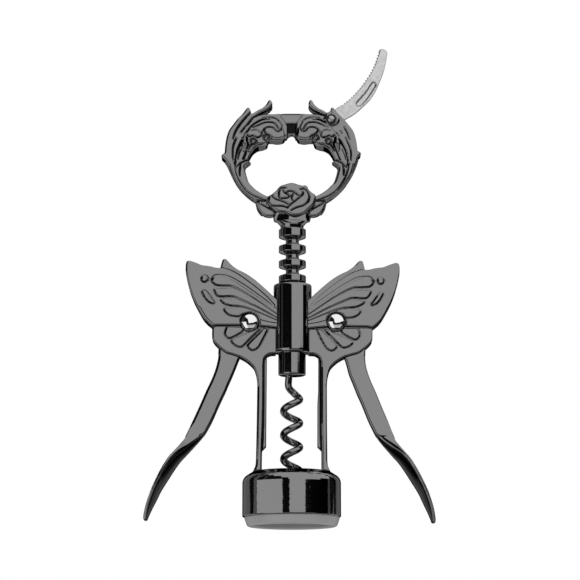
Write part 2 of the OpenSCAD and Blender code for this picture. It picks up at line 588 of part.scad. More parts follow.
// Petals of the rose, in the same way
PETALS = [
    [2.4, [[-5.4, 9, 0.9], [-2.6, 9.8, 1.2], [1, 9.8, 1.3], [3.6, 8.2, 1],
        [3.4, 6, 0.7]]],
    [2.9, [[-3.8, 8.6, 0.6], [-4.2, 6.6, 1], [-2.6, 5.2, 0.9], [-0.6, 5.6, 0.4]]],
    [2.8, [[-1.6, 7.6, 0.6], [0.4, 6.6, 1], [1.4, 4.8, 1.1], [0.6, 3.2, 0.5]]],
    [2.4, [[4.6, 8.6, 0.7], [5.6, 6.2, 1.2], [4.4, 3.4, 1.3], [1.6, 1.4, 1.2], [-1.4, 0.4, 0.5]]],
    [1.6, [[5.2, 9.2, 0.6], [7.2, 6.8, 0.9], [7.8, 4, 1], [6.6, 1.6, 0.8]]],
    [2.5, [[-8, 5.6, 0.9], [-7.4, 3.2, 1.3], [-5, 2.2, 1], [-1.6, 1.6, 0.5]]],
    [2.2, [[-6.4, 8.2, 0.8], [-6.8, 6, 1.2], [-5.4, 4.6, 0.8]]],
    [1.2, [[-6, 0.6, 0.8], [-3, 0.2, 1.1], [1, 0, 1.3], [4.6, 0.6, 1]]]];
module raised(leaf) {
    slab(shift(handle_k * stroke(leaf[1]), [0, handle_z]),
        -ring_half_t - leaf[0], ring_half_t + leaf[0]);
}
module handle_ring() {
    at = [0, handle_z];
    outer = handle_k * curve(RING_OUT);
    inner = handle_k * curve(RING_IN);
    reach = ring_half_t + 4;
    color(PLATING) difference() {
        union() {
            difference() {
                slab(shift(both_halves(outer), at), -ring_half_t, ring_half_t);
                slab(shift(both_halves(inner), at), -reach, reach);
            }
            for (leaf = LEAVES) for (side = [LEFT, RIGHT]) on_side(side)
                raised(leaf);
            for (petal = PETALS) raised(petal);
            cross_bar(at + handle_k * [0, 5], handle_k * 5.2, -rose_half_t, rose_half_t);
            // Plain disc that carries the blade's rivet
            cross_bar(blade_pivot, blade_root_r, -blade_seat, blade_seat);
        }
        // The foot of the casting stands on the flange
        translate([0, 0, flange_z]) cylinder(h = flange_h, r = flange_r + fix_gap);
        translate([0, 0, handle_z - over])
            cylinder(h = over + stud_h + end_gap, r = stud_r + fix_gap);
        cross_bar([0, handle_pin_z], pin_r + fix_gap, -stud_r - over, reach);
        cross_bar(blade_pivot, blade_pin_r + fix_gap, -reach, reach);
        for (face = [FRONT, REAR]) on_face(face)
            cross_bar(blade_pivot, blade_head_r + blade_head_gap, -reach, -blade_seat);
        blade_slot();
    }
}
// The slot that the foil blade folds into, over the top of the handle
module blade_slot() {
    p = blade_pivot;
    slab(shift([[-blade_l - 1.5, -2.4], [-3, -2.4], [0, -3.3], [1.8, -2.7], [2.9, -1.7],
        [6.4, 0.3], [9.5, 2.1], [9.5, 14], [-blade_l - 1.5, 14]], p), -slot_half_w, slot_half_w);
    cross_bar(p, blade_root_r + 0.3, -slot_half_w, slot_half_w);
}
module handle_pin() {
    color("silver") cross_bar([0, handle_pin_z], pin_r, -stud_r - 0.7, ring_half_t + 0.6);
}

// ---- Foil blade ----
// Edges of the open blade, from its rivet
CUT_EDGE = [[2.4, 4.8], [4.8, 7.1], [6.7, 8.6], [9.8, 11.9], [12.5, 15], [14.8, 18.1],
    [16.5, 21.3], [18.1, 25.8], [19.6, 30.1]];
BLADE_BACK = [[20.9, 30.5], [22.1, 30], [22.8, 28.8], [22.7, 26.6], [21.6, 21.3], [19.5, 15.3],
    [16.8, 10], [13.1, 6], [8.2, 2.1], [5, 0.3], [2.6, -1.5]];
// Both edges of the sunk nail nick
NICK = [[10, 7.1], [12.1, 9.8], [14.1, 12.1], [15.8, 14.8], [16.8, 16.2], [17.9, 16], [18.3, 15],
    [16.9, 12], [14.9, 9], [12.9, 7], [11.2, 6.2]];
module foil_blade() {
    at = blade_pivot;
    edge = blade_k * curve(CUT_EDGE, 4);
    nick_h = 0.25;
    color("#c8c9ca") difference() {
        union() {
            slab(shift(concat([[0, 0]], edge, blade_k * curve(BLADE_BACK)), at), -blade_t / 2, blade_t / 2);
            cross_bar(at, blade_root_r, -blade_t / 2, blade_t / 2);
        }
        for (i = [1 : notches]) let (s = 8 + i * (len(edge) - 11) / notches, n = floor(s),
                q = at + edge[n] + (s - n) * (edge[n + 1] - edge[n]))
            cross_bar(q, notch_h, -blade_t, blade_t);
        for (face = [FRONT, REAR]) on_face(face)
            slab(shift(blade_k * round_loop(NICK), at), -blade_t, nick_h - blade_t / 2);
        cross_bar(at, blade_pin_r + run_gap, -blade_t, blade_t);
    }
}
module blade_rivet() {
    color("#c8c9ca") translate([blade_pivot[0], 0, blade_pivot[1]]) union() {
        for (face = [FRONT, REAR]) on_face(face) translate([0, -blade_seat, 0])
            dome(blade_head_r, 0.9);
        cross_bar([0, 0], blade_pin_r, -blade_seat - 0.2, blade_seat + 0.2);
    }
}

bell();
bell_liner();
post(LEFT);  // left_post
post(RIGHT);  // right_post
guide_barrel();
wing(LEFT, FRONT);  // front_left_wing
wing(RIGHT, FRONT);  // front_right_wing
wing(LEFT, REAR);  // rear_left_wing
wing(RIGHT, REAR);  // rear_right_wing
lever(LEFT);  // left_lever
lever(RIGHT);  // right_lever
pivot_rivet(LEFT);  // left_pivot_rivet
pivot_rivet(RIGHT);  // right_pivot_rivet
rivet_cap(LEFT);  // left_rivet_cap
rivet_cap(RIGHT);  // right_rivet_cap
toothed_sleeve();
spindle();
worm_collar();
collar_pin();
worm();
handle_ring();
handle_pin();
foil_blade();
blade_rivet();
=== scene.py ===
"""Looks of a wing corkscrew: a cast frame with butterfly wings, geared levers, and a scrolled ring handle.

Sizes are real ones in millimetres. The worm's axis is Z, the base is z = 0 and the front faces -Y.
"""

import math

import bpy
import numpy as np
from bpy.props import FloatProperty, FloatVectorProperty, PointerProperty
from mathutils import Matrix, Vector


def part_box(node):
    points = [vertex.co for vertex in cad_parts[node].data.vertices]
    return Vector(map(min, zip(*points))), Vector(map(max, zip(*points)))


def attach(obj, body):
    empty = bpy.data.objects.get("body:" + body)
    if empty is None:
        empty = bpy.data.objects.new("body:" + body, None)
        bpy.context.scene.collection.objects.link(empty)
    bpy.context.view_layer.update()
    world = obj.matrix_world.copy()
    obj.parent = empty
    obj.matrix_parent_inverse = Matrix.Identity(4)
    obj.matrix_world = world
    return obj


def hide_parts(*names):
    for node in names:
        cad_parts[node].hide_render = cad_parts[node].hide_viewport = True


bl_info = {
    "name": "Wing Corkscrew",
    "version": (1, 0, 0),
    "blender": (4, 5, 0),
    "location": "3D View > Sidebar > Corkscrew",
    "description": "Builds a wing corkscrew in gunmetal plating on its packed frame",
    "category": "Object",
}

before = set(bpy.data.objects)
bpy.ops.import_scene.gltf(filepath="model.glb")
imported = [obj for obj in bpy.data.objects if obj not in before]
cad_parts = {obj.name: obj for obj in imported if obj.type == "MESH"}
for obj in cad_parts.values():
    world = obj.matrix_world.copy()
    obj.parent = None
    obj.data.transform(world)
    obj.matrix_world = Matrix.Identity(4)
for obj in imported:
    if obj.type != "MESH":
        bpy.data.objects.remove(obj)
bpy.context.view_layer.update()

MM = 0.001


def extent(node):
    """Lowest and highest Z of a CAD node, and its reach along X, in millimetres."""
    low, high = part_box(node)
    return low.z / MM, high.z / MM, high.x / MM


# Places that the frame gives, in millimetres
BELL_FOOT, BELL_TOP, BELL_R = extent("bell")
BARREL_LOW, BARREL_HIGH, BARREL_R = extent("guide_barrel")
SLEEVE_LOW, SLEEVE_HIGH, _ = extent("toothed_sleeve")
COLLAR_LOW, COLLAR_HIGH, _ = extent("worm_collar")
PIVOT_LOW, PIVOT_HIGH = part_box("right_pivot_rivet")
PIVOT_X, _, PIVOT_Z = (PIVOT_LOW + PIVOT_HIGH) / 2 / MM
PIVOT = (PIVOT_X, PIVOT_Z)

# The spindle's flange under the handle: its top, and its depth as a share of its width
FLANGE_TOP = 125.9
FLANGE_FLATNESS = 0.4

# Faces of the wings, as distances from the middle plane
INNER_FACE = 2.15
LOWER_FACE = 3.8
UPPER_FACE = 4.8

# How far the right wing and the right lever are turned about the lever's pivot, in degrees
WING_TURN = 0.8
LEVER_TURN = 1.5

# How far the round pieces sit off the middle, along X
BELL_SHIFT = -0.15
BARREL_SHIFT = 0.25
SLEEVE_SHIFT = 0.15
WORM_SHIFT = -0.15

# Gears of the levers and teeth of the sleeve
GEAR_PITCH_R = 13.15
GEAR_TIP_R = 14.4
GEAR_ROOT_R = 11.5
TOOTH_PITCH = 6.1
TOOTH_WIDTH = 2.4
PRESSURE_ANGLE = math.radians(20)

# The lever's half thickness and the hole for its rivet; the domed head of that rivet
LEVER_HALF = 2
PIVOT_HOLE_R = 1.96
RIVET_HEAD = (3.5, 2)


# ---- Curves and distances in the XZ plane ----
def smooth_path(points, steps=5, closed=False):
    """Points on a smooth curve through chosen points; each may carry more values than two."""
    p = np.asarray(points, float)
    if closed:
        p = np.vstack([p[-1], p, p[0], p[1]])
    else:
        p = np.vstack([p[0], p, p[-1]])
    t = np.linspace(0, 1, steps, endpoint=False)[:, None]
    rows = []
    for a, b, c, d in zip(p, p[1:], p[2:], p[3:]):
        bend, twist = 2 * a - 5 * b + 4 * c - d, 3 * b - a - 3 * c + d
        rows.append(0.5 * (2 * b + (c - a) * t + bend * t**2 + twist * t**3))
    if not closed:
        rows.append(p[-2:-1])
    return np.vstack(rows)


def arc(centre, radius, start, end, steps=8):
    """Points on an arc between two angles in degrees."""
    a = np.radians(np.linspace(start, end, steps + 1))
    return np.column_stack([centre[0] + radius * np.cos(a), centre[1] + radius * np.sin(a)])


def to_segment(x, z, a, b):
    """Distance from each point to a straight piece, and the share of its length at the nearest place."""
    dx, dz = b[0] - a[0], b[1] - a[1]
    t = np.clip(((x - a[0]) * dx + (z - a[1]) * dz) / max(dx * dx + dz * dz, 1e-12), 0, 1)
    return np.hypot(x - a[0] - t * dx, z - a[1] - t * dz), t


def to_path(x, z, path, sided=False):
    """Distance from each point to a path, and the path's other values at the nearest place.

    A sided distance is positive on the left of the path.
    """
    best = np.full(x.shape, 1e9)
    side = np.ones(x.shape)
    extra = np.zeros((path.shape[1] - 2,) + x.shape)
    for a, b in zip(path, path[1:]):
        away, t = to_segment(x, z, a, b)
        closer = away < best
        best = np.where(closer, away, best)
        if sided:
            turn = np.sign((b[0] - a[0]) * (z - a[1]) - (b[1] - a[1]) * (x - a[0]))
            side = np.where(closer, turn, side)
        for k in range(len(extra)):
            extra[k] = np.where(closer, a[2 + k] + t * (b[2 + k] - a[2 + k]), extra[k])
    return best * side, extra


def to_outline(x, z, outline):
    """Signed distance to a closed outline, negative inside."""
    p = np.asarray(outline, float)
    best = np.full(x.shape, 1e9)
    inside = np.zeros(x.shape, bool)
    for a, b in zip(p, np.roll(p, -1, axis=0)):
        best = np.minimum(best, to_segment(x, z, a, b)[0])
        if a[1] != b[1]:
            crossing = a[0] + (z - a[1]) * (b[0] - a[0]) / (b[1] - a[1])
            inside ^= ((a[1] > z) != (b[1] > z)) & (x < crossing)
    return np.where(inside, -best, best)


def blend_step(x, low, high):
    """0 before low, 1 past high, and a soft rise between them."""
    t = np.clip((x - low) / (high - low), 0, 1)
    return t * t * (3 - 2 * t)


# ---- Solids as distance fields on a grid, and their surfaces ----
class Block:
    """A grid over one piece, symmetric front to back. Its axes are x, y from 0 outward, and z."""

    def __init__(self, low, high, step):
        self.step = a, b, c = np.broadcast_to(step, 3)
        self.x = np.arange(low[0] - 3 * a, high[0] + 3 * a, a)
        self.y = np.arange(0, high[1] + 3 * b, b)
        self.z = np.arange(low[2] - 3 * c, high[2] + 3 * c, c)
        self.gx, self.gz = np.meshgrid(self.x, self.z, indexing="ij")

    def plate(self, outline, y0, y1, rounding):
        """A plate from y0 to y1 over an outline given by its distance, with rounded edges."""
        y0, y1 = np.broadcast_to(y0, self.gx.shape), np.broadcast_to(y1, self.gx.shape)
        side = (outline + rounding)[:, None, :]
        middle_y, half = (y0 + y1)[:, None, :] / 2, (y1 - y0)[:, None, :] / 2
        face = np.abs(self.y[None, :, None] - middle_y) - (half - rounding)
        corner = np.hypot(np.maximum(side, 0), np.maximum(face, 0))
        return (corner + np.minimum(np.maximum(side, face), 0) - rounding).astype(np.float32)


def join(a, b, soft):
    """Union of two solids with a soft fillet where they meet."""
    h = np.clip(0.5 + 0.5 * (b - a) / soft, 0, 1)
    return b + (a - b) * h - soft * h * (1 - h)


def cut(a, b, soft):
    """a without b, with a soft edge."""
    return -join(-a, b, soft)


def surface(field, block):
    """Vertices and four-sided faces where a field is zero, looking outward.

    The field is the half with y from 0 outward, and the other half is its mirror image.
    """
    whole = np.concatenate([field[:, :0:-1], field], axis=1)
    low = np.array([block.x[0], -block.y[-1], block.z[0]])
    solid = whole < 0
    cells = np.array(whole.shape)
    owners, crossings, flips = [], [], []
    for a in range(3):
        b, c = (a + 1) % 3, (a + 2) % 3
        here = [slice(None)] * 3
        there = [slice(None)] * 3
        here[a], there[a] = slice(None, -1), slice(1, None)
        p = np.argwhere(solid[tuple(here)] != solid[tuple(there)])
        q = p.copy()
        q[:, a] += 1
        f0, f1 = whole[tuple(p.T)], whole[tuple(q.T)]
        point = p.astype(float)
        point[:, a] += f0 / (f0 - f1)
        around = []
        for db, dc in ((1, 1), (0, 1), (0, 0), (1, 0)):
            cell = p.copy()
            cell[:, b] -= db
            cell[:, c] -= dc
            around.append((cell[:, 0] * cells[1] + cell[:, 1]) * cells[2] + cell[:, 2])
        owners.append(np.stack(around, 1))
        crossings.append(point)
        flips.append(f0 > 0)
    flip = np.concatenate(flips)
    _, index = np.unique(np.concatenate(owners).ravel(), return_inverse=True)
    count = np.bincount(index)
    spots = np.repeat(np.concatenate(crossings), 4, axis=0)
    verts = np.stack([np.bincount(index, weights=spots[:, k]) / count for k in range(3)], 1)
    faces = index.reshape(-1, 4)
    faces[flip] = faces[flip][:, ::-1]
    for _ in range(3):
        value, slope = sample(whole, verts)
        size = (slope**2).sum(1) + 1e-9
        verts += np.clip(-(value / size)[:, None] * slope, -0.5, 0.5)
    return low + verts * block.step, faces


def sample(field, at):
    """Value and slope of a field between its grid points."""
    i = np.clip(at.astype(int), 0, np.array(field.shape) - 2)
    u = at - i
    corner = {}
    for dx in (0, 1):
        for dy in (0, 1):
            for dz in (0, 1):
                corner[dx, dy, dz] = field[i[:, 0] + dx, i[:, 1] + dy, i[:, 2] + dz].astype(float)
    value = np.zeros(len(at))
    slope = np.zeros((len(at), 3))
    for (dx, dy, dz), f in corner.items():
        wx, wy, wz = (u[:, k] if d else 1 - u[:, k] for k, d in enumerate((dx, dy, dz)))
        value += f * wx * wy * wz
        slope[:, 0] += f * (1 if dx else -1) * wy * wz
        slope[:, 1] += f * wx * (1 if dy else -1) * wz
        slope[:, 2] += f * wx * wy * (1 if dz else -1)
    return value, slope


# ---- Meshes ----
def normals(verts, faces):
    """Directions that a surface of four-sided faces looks in at its points."""
    corner = verts[faces]
    across = np.cross(corner[:, 2] - corner[:, 0], corner[:, 3] - corner[:, 1])
    total = [np.bincount(faces.ravel(), weights=np.repeat(across[:, k], 4)) for k in range(3)]
    total = np.stack(total, 1)
    return total / np.linalg.norm(total, axis=1)[:, None]


def spread(block, values, verts):
    """Values of a grid in the XZ plane at the points of a surface."""
    places = []
    for axis, line in ((0, block.x), (2, block.z)):
        place = ((verts[:, axis] - line[0]) / block.step[axis]).round().astype(int)
        places.append(np.clip(place, 0, len(line) - 1))
    return values[tuple(places)]


def add_piece(name, shape, body, nodes, slot, material=None, sharp=None):
    """A smooth-shaded piece that rides on a body in place of CAD nodes.

    The shape is points in millimetres, faces and, for some pieces, how much painted shade darkens each
    point, from 0 to 1. The material is the slot's own unless another is named.
    """
    verts, faces, *painted_shade = shape
    mesh = bpy.data.meshes.new(name)
    mesh.from_pydata(verts * MM, [], faces if isinstance(faces, list) else faces.tolist())
    mesh.validate()
    mesh.shade_smooth()
    if sharp is not None:
        mesh.set_sharp_from_angle(angle=math.radians(sharp))
    # Painted shade: each point's darkening, from 0 to 1, kept on the mesh for the material
    for depth in painted_shade:
        mesh.attributes.new("painted_shade", "FLOAT", "POINT").data.foreach_set("value", depth)
    mesh.materials.append(MATERIALS[material or slot])
    piece = bpy.data.objects.new(name, mesh)
    bpy.context.scene.collection.objects.link(piece)
    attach(piece, body)
    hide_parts(*nodes)


def moved(shape, offset):
    """A shape moved by an offset in millimetres."""
    verts, *rest = shape
    return (verts + offset, *rest)


def turned_back(shape):
    """A shape turned about Z, so that its front looks back."""
    verts, *rest = shape
    return (verts * (-1, -1, 1), *rest)


def lathe(profile, sides=128, axis="Z"):
    """A closed surface turned about Z, from a profile of (radius, height) that runs up the outside."""
    p = np.asarray(profile, float)
    rows = []
    for a, b in zip(p, np.roll(p, -1, axis=0)):
        rows.append(a)
        length = np.linalg.norm(b - a)
        if length > 0.5 and min(a[0], b[0]) > 0:
            rows += [a + (b - a) * 0.04 / length, b - (b - a) * 0.04 / length]
    p = np.array(rows)
    turn = np.linspace(0, 2 * np.pi, sides, endpoint=False)
    verts, faces, rings = [], [], []
    for r, h in p:
        if r < 1e-6:
            rings.append([len(verts)] * sides)
            verts.append((0, 0, h))
        else:
            rings.append(list(range(len(verts), len(verts) + sides)))
            verts.extend(zip(r * np.cos(turn), r * np.sin(turn), [h] * sides))
    for lower, upper in zip(rings, rings[1:] + rings[:1]):
        for k in range(sides):
            m = (k + 1) % sides
            face = [lower[k], lower[m], upper[m], upper[k]]
            face = [v for n, v in enumerate(face) if v != face[n - 1]]
            if len(face) > 2:
                faces.append(face)
    verts = np.array(verts)
    if axis == "-Y":
        verts = np.column_stack([verts[:, 0], -verts[:, 2], verts[:, 1]])
    return verts, faces


def rounded(corners, steps=6):
    """A profile with rounded corners; each corner is (radius from the axis, height, rounding)."""
    out = []
    for k, (x, y, r) in enumerate(corners):
        here = np.array([x, y], float)
        if r <= 0:
            out.append(here)
            continue
        before = np.array(corners[k - 1][:2], float) - here
        after = np.array(corners[(k + 1) % len(corners)][:2], float) - here
        u, v = before / np.linalg.norm(before), after / np.linalg.norm(after)
        half = math.acos(np.clip(u @ v, -1, 1)) / 2
        reach = r / math.tan(half)
        centre = here + (u + v) / np.linalg.norm(u + v) * r / math.sin(half)
        a, b = here + u * reach - centre, here + v * reach - centre
        turn = math.atan2(a[0] * b[1] - a[1] * b[0], a @ b)
        for t in np.linspace(0, turn, steps + 1):
            c, s = math.cos(t), math.sin(t)
            out.append(centre + [a[0] * c - a[1] * s, a[0] * s + a[1] * c])
    return np.array(out)


# ---- Outlines in millimetres; x runs outward from the worm's axis ----
WING_TOP = [(5, 88.6), (7.6, 91), (10.1, 93.4), (13.2, 96.2), (15.1, 97.8), (17.2, 99.3), (19.4, 100.6),
            (21.5, 101.6), (23, 102.6), (24.3, 103.7), (25.3, 104.8), (26.1, 105.7), (27, 106),
            (27.7, 105.6), (28.2, 104), (28.6, 102.3)]
WING_TIP = [(28.6, 102.3), (30.5, 102.45), (32.6, 103), (35.1, 103.35), (36.3, 103.6), (37.9, 104.3),
            (39.8, 105), (41.3, 105.3), (42.1, 104.8), (42.4, 103.4), (42.4, 100.9), (42, 98.4),
            (41.3, 95.3), (40.3, 92.1), (38.9, 88.7), (37.3, 85.6), (35.7, 82.8), (34.2, 80.9),
            (32.7, 79.6), (31.6, 78.8)]
WING_STEP = [(30, 79.2), (20, 79.2), (13, 78.9), (5, 78)]
LOWER_WING = [(31.8, 78.4), (31.8, 74.3), (31.2, 72.8), (29.9, 71.3), (28.4, 70), (26.3, 68.5),
              (23.8, 67.7), (21.4, 66.9), (20.2, 66.4), (17.9, 65), (16.3, 63.6), (15, 61.9),
              (14.1, 58.8), (13.75, 55.6)]
POST_INNER = [(11.75, 21.2), (11.7, 30), (11.4, 40), (11.4, 66.5), (17, 68)]
POST_OUTER = [(13.75, 56), (13.85, 40), (14, 28), (14.05, 25.5), (14.25, 23.6), (14.8, 22.3),
              (15.3, 21.2)]
FLANGE = [(10.06, 31.2), (12.2, 29), (12.2, 67), (10.06, 67)]

# Raised cells of a wing: chosen points of a closed curve
UPPER_CELLS = [
    [(32.2, 97.2), (31, 95.4), (29, 94.9), (25, 94.8), (23.5, 94.4), (20.5, 93.1), (17, 91.1),
     (14, 89.1), (6, 83.4), (5.8, 84.4), (10, 87.4), (14, 90.2), (18, 93), (22, 95.7), (26, 98),
     (28.5, 98.7), (30.7, 98.7)],
    [(31.1, 93.1), (30.2, 91.2), (28.6, 90.4), (23.8, 90.5), (20, 89.1), (14.5, 86.6), (10, 84.1),
     (5.5, 81.7), (5.4, 82.7), (10, 85.9), (14, 88.5), (18, 90.9), (22, 93), (25, 93.9), (28.8, 94),
     (30.4, 93.8)],
    [(28.6, 89), (27, 87.6), (24.6, 86.8), (21, 86.5), (17.5, 85.8), (14.5, 84.6), (11.5, 83.4),
     (5.5, 80.9), (5.4, 81.6), (10, 83.7), (14.5, 86), (19, 88), (23.5, 89.6), (27, 89.8)],
    [(27.1, 85), (26, 83.6), (24, 82.7), (21, 82.5), (19.5, 83.4), (17, 84.3), (17.6, 85.2), (21, 85.8),
     (25, 86), (26.6, 85.8)]]
LOWER_CELLS = [
    [(26.9, 76.2), (26.3, 74.6), (24.9, 73.9), (22.4, 75), (19.5, 76.9), (20, 78.4), (22.5, 78.8),
     (25.8, 78.7)],
    [(24.3, 72.8), (23, 71.3), (20.9, 70.4), (19.3, 71), (16.5, 74), (12.8, 77.7), (14.2, 78),
     (17.5, 76.4), (21, 74.9), (23.4, 73.8)],
    [(17.9, 71), (17, 69.7), (15.7, 69.1), (14.2, 69.7), (12.7, 71.5), (9.7, 77.8), (11.4, 77.9),
     (14.4, 75), (17, 72.4)]]
WING_VEINS = [
    [(13.2, 81.3), (9.5, 80.3), (5.5, 79.7)],
    [(28.4, 102.3), (25.4, 101.4), (22.4, 100), (19.3, 97.9), (16.2, 95.6), (13.1, 93.1), (10, 90.3),
     (7, 87)],
    [(32.3, 97.5), (30.7, 99.2), (28, 99.3), (25, 98.6), (20, 95.8), (15, 92.3), (10, 88.6), (6, 85.4)]]
WING_EYE = (34.9, 97.7, 1.4)
WING_DROP = [(35.1, 92.3, 0.8), (34.1, 90.9, 1.05), (32.9, 89.3, 1), (31.6, 88.2, 0.6)]

LEVER_OUT = [(27.4, 77.3), (29, 72.3), (29.3, 68.7), (29.3, 66.8), (29.9, 63.8), (30.7, 61.1),
             (32.1, 57.5), (33.8, 53.9), (35.6, 49.7), (37.6, 45.1), (39.4, 40.9), (41, 37.6),
             (42.3, 35)]
LEVER_IN = [(34.8, 35.8), (34.3, 36.4), (32.5, 39.6), (31, 42.5), (29.5, 45.9), (28, 49.3), (26.4, 52.7),
            (25, 56.1), (23.3, 60), (20.9, 66.1), (18.7, 70.8)]
# How far the right lever's outline lies inward, by distance from its pivot
LEVER_ASKEW = [(14, 0), (20, 0.15), (44, 0.15), (52, 0.45), (64, 0.35), (76, 0)]
# Inner edge of the paddle: x, z, half width, and how far it is bowed; then its outer edge
PADDLE_IN = [(30, 46, 1.7, 0), (31.2, 42.4, 1.7, 0), (32.6, 39.2, 1.8, 0.02), (34.2, 36.2, 2, 0.1),
             (35.9, 33.9, 2.4, 0.25), (39.1, 30.3, 3.9, 0.6), (41.5, 27.7, 5.4, 0.9),
             (43.9, 25.1, 6.5, 1), (46.3, 21.7, 7, 1), (48.7, 17.9, 7, 1), (51.1, 14, 6.6, 1),
             (52.9, 10.3, 5.8, 1), (54.8, 6.5, 4.5, 1), (56.1, 3.6, 3.2, 0.9), (57.2, 0.8, 1.8, 0.6)]
PADDLE_OUT = [(36.7, 46.5), (38, 43.6), (39.5, 40.8), (41.2, 37.7), (42.5, 34.8), (46, 30.3),
              (48.1, 27.9), (50, 25.1), (51.9, 21.7), (53.5, 18.4), (54.9, 15.3), (56.3, 11.7),
              (57.4, 8.4), (58.05, 5.1), (58.2, 3.2), (58, 0.8)]

# Right half of the handle's outline and of its hole, as chained curves
RING_OUTER = [
    [(0, 166.7), (3, 166.7), (4.8, 166.6), (6, 166.5), (8.8, 166.35), (10, 166.35), (11.7, 166.15),
     (13.4, 165.8)],
    [(13.4, 166.4), (12.3, 167), (11, 167.7), (9.6, 168.5), (8.7, 169.3), (8, 170.3), (8, 171.2),
     (8.4, 172), (9, 172.4), (9.6, 172), (10.4, 170.6), (11.3, 169.6), (12.3, 168.8), (13.8, 168.1),
     (15, 167.3), (16.1, 166.6)],
    [(16.4, 166.7), (16.8, 168), (17.1, 168.8), (17.7, 169.2), (18.3, 168.9), (19, 168), (20, 166.6),
     (21.1, 165.4), (22.1, 164.4), (23.1, 163.1), (23.9, 162), (25, 160.5), (25.7, 159.2), (26.2, 157.7),
     (26.6, 156), (26.9, 154), (27.1, 152.2), (27.15, 150.5)],
    [(27.15, 150.5), (27.7, 149.9), (28.3, 149.4), (28.5, 148.9), (28, 148.3), (26.9, 147.2),
     (26.1, 146.1), (25.5, 144.9), (24.5, 142.7), (23.7, 140.9), (22.6, 138.8), (21.3, 136.7),
     (19.8, 134.9), (18.2, 133.3), (16.5, 131.9), (14.4, 130.4)],
    [(14.3, 129.7), (14.1, 128.8), (13.8, 127.5), (13.2, 126.2), (12.3, 125.1), (11.3, 124.4),
     (10.1, 124), (8.5, 123.9), (7, 124.5), (6, 126.1)]]
RING_INNER = [
    [(0, 157.8), (0.5, 157.8), (1.2, 157.4), (2, 156.8), (3, 156.4), (4, 156), (5, 155.8), (6, 155.7),
     (7, 155.8), (8, 156), (9, 155.9), (9.6, 155.4), (10, 154.2), (10.6, 153.6), (11.9, 153.4),
     (13.3, 153.2), (14.6, 152.4), (15.6, 151.3), (16.5, 149.9), (17.3, 148.3), (17.6, 147.4)],
    [(17.4, 147.1), (17.1, 146.6), (17.8, 146), (18.8, 145.2), (19.3, 144), (19.1, 142.5), (18.7, 141),
     (18.4, 140), (18, 138.8), (17.35, 137.7), (16.1, 136.4), (14.9, 135.2), (13.6, 134.3),
     (12.4, 133.5), (10.9, 132.7), (10, 132.3)]]
ROSE = [(-9.2, 131.7), (-8.2, 132.4), (-7.2, 133.2), (-6.3, 134), (-5.5, 135), (-4.5, 135.9),
        (-3, 136.4), (0, 137.1), (2.8, 136.3), (4.2, 136), (5.3, 136.1), (6.1, 135.6), (6.6, 134.6),
        (7.4, 133.6), (8.5, 132.7), (9.4, 132), (9.2, 129.5), (8.4, 127.6), (6.5, 125.8), (4.6, 124.2),
        (1, 123.4), (-2.5, 124.6), (-6, 125.2), (-8.4, 127), (-9.8, 129)]


def turned(x, z, centre, degrees, weight):
    """Where a point was before its surroundings were turned clockwise about a centre."""
    a = np.radians(degrees) * weight
    dx, dz = x - centre[0], z - centre[1]
    return centre[0] + dx * np.cos(a) - dz * np.sin(a), centre[1] + dx * np.sin(a) + dz * np.cos(a)


def cell(distance, height, reach):
    """A raised cell's height, from its outline's signed distance: it stands in a fine groove."""
    around = 0.07 * blend_step(distance, 0.35, 0.12) * (distance > -0.05)
    return height * blend_step(-distance, 0, reach) - around


def groove(distance, depth, half_width):
    """The height of a groove, from the distance to its middle line."""
    return -depth * blend_step(distance, half_width, 0)


def stacked(relief, more):
    """Two reliefs as one: the higher of two raised parts, and any groove."""
    return np.where((relief > 0) | (more > 0), np.maximum(relief, more), relief + more)


# ---- Frame ----
def rivet_seat(side):
    """Where a rivet's head sits, a little off the lever's pivot."""
    off_x, off_z = (0.3, 0.4) if side > 0 else (-0.4, 0.3)
    return PIVOT_X + off_x, PIVOT_Z + off_z


def unlean(x, z, side):
    """Where a point of the frame was before its side was set a little askew, as the real one is."""
    lean = 0.006 * side * (np.clip(z, 20, 70) - 52)
    if side > 0:
        shift = blend_step(z, 64, 76)
        moved_x = x + (0.05 - 0.1 * blend_step(x, 22, 30)) * shift
        x, z = turned(moved_x, z + 0.45 * shift, PIVOT, WING_TURN, blend_step(z, 64, 72))
    else:
        shift = blend_step(z, 76, 86)
        x, z = x - 0.1 * shift, z - 0.15 * shift
    return x - lean, z


def wing_reliefs(x, z, cell_height):
    """Heights of the upper wing's cells, eye, drop and veins, and of the lower wing's cells."""
    tall = cell_height * (0.35 + 0.65 * blend_step(x, 12, 27))
    upper = np.zeros(x.shape)
    for shape in UPPER_CELLS:
        upper = stacked(upper, cell(to_outline(x, z, smooth_path(shape, 4, True)), tall, 0.45))
    eye = np.hypot(x - WING_EYE[0], z - WING_EYE[1]) - WING_EYE[2]
    drop, (drop_r,) = to_path(x, z, smooth_path(WING_DROP))
    for distance in (eye, drop - drop_r):
        upper = stacked(upper, cell(distance, tall, 0.4))
    for vein in WING_VEINS:
        upper = upper + groove(to_path(x, z, smooth_path(vein))[0], 0.09, 0.3)
    lower = np.zeros(x.shape)
    for shape in LOWER_CELLS:
        lower = stacked(lower, cell(to_outline(x, z, smooth_path(shape, 4, True)), cell_height, 0.4))
    return upper, lower * blend_step(to_path(x, z, np.array(WING_STEP))[0], 0.35, 0.8)


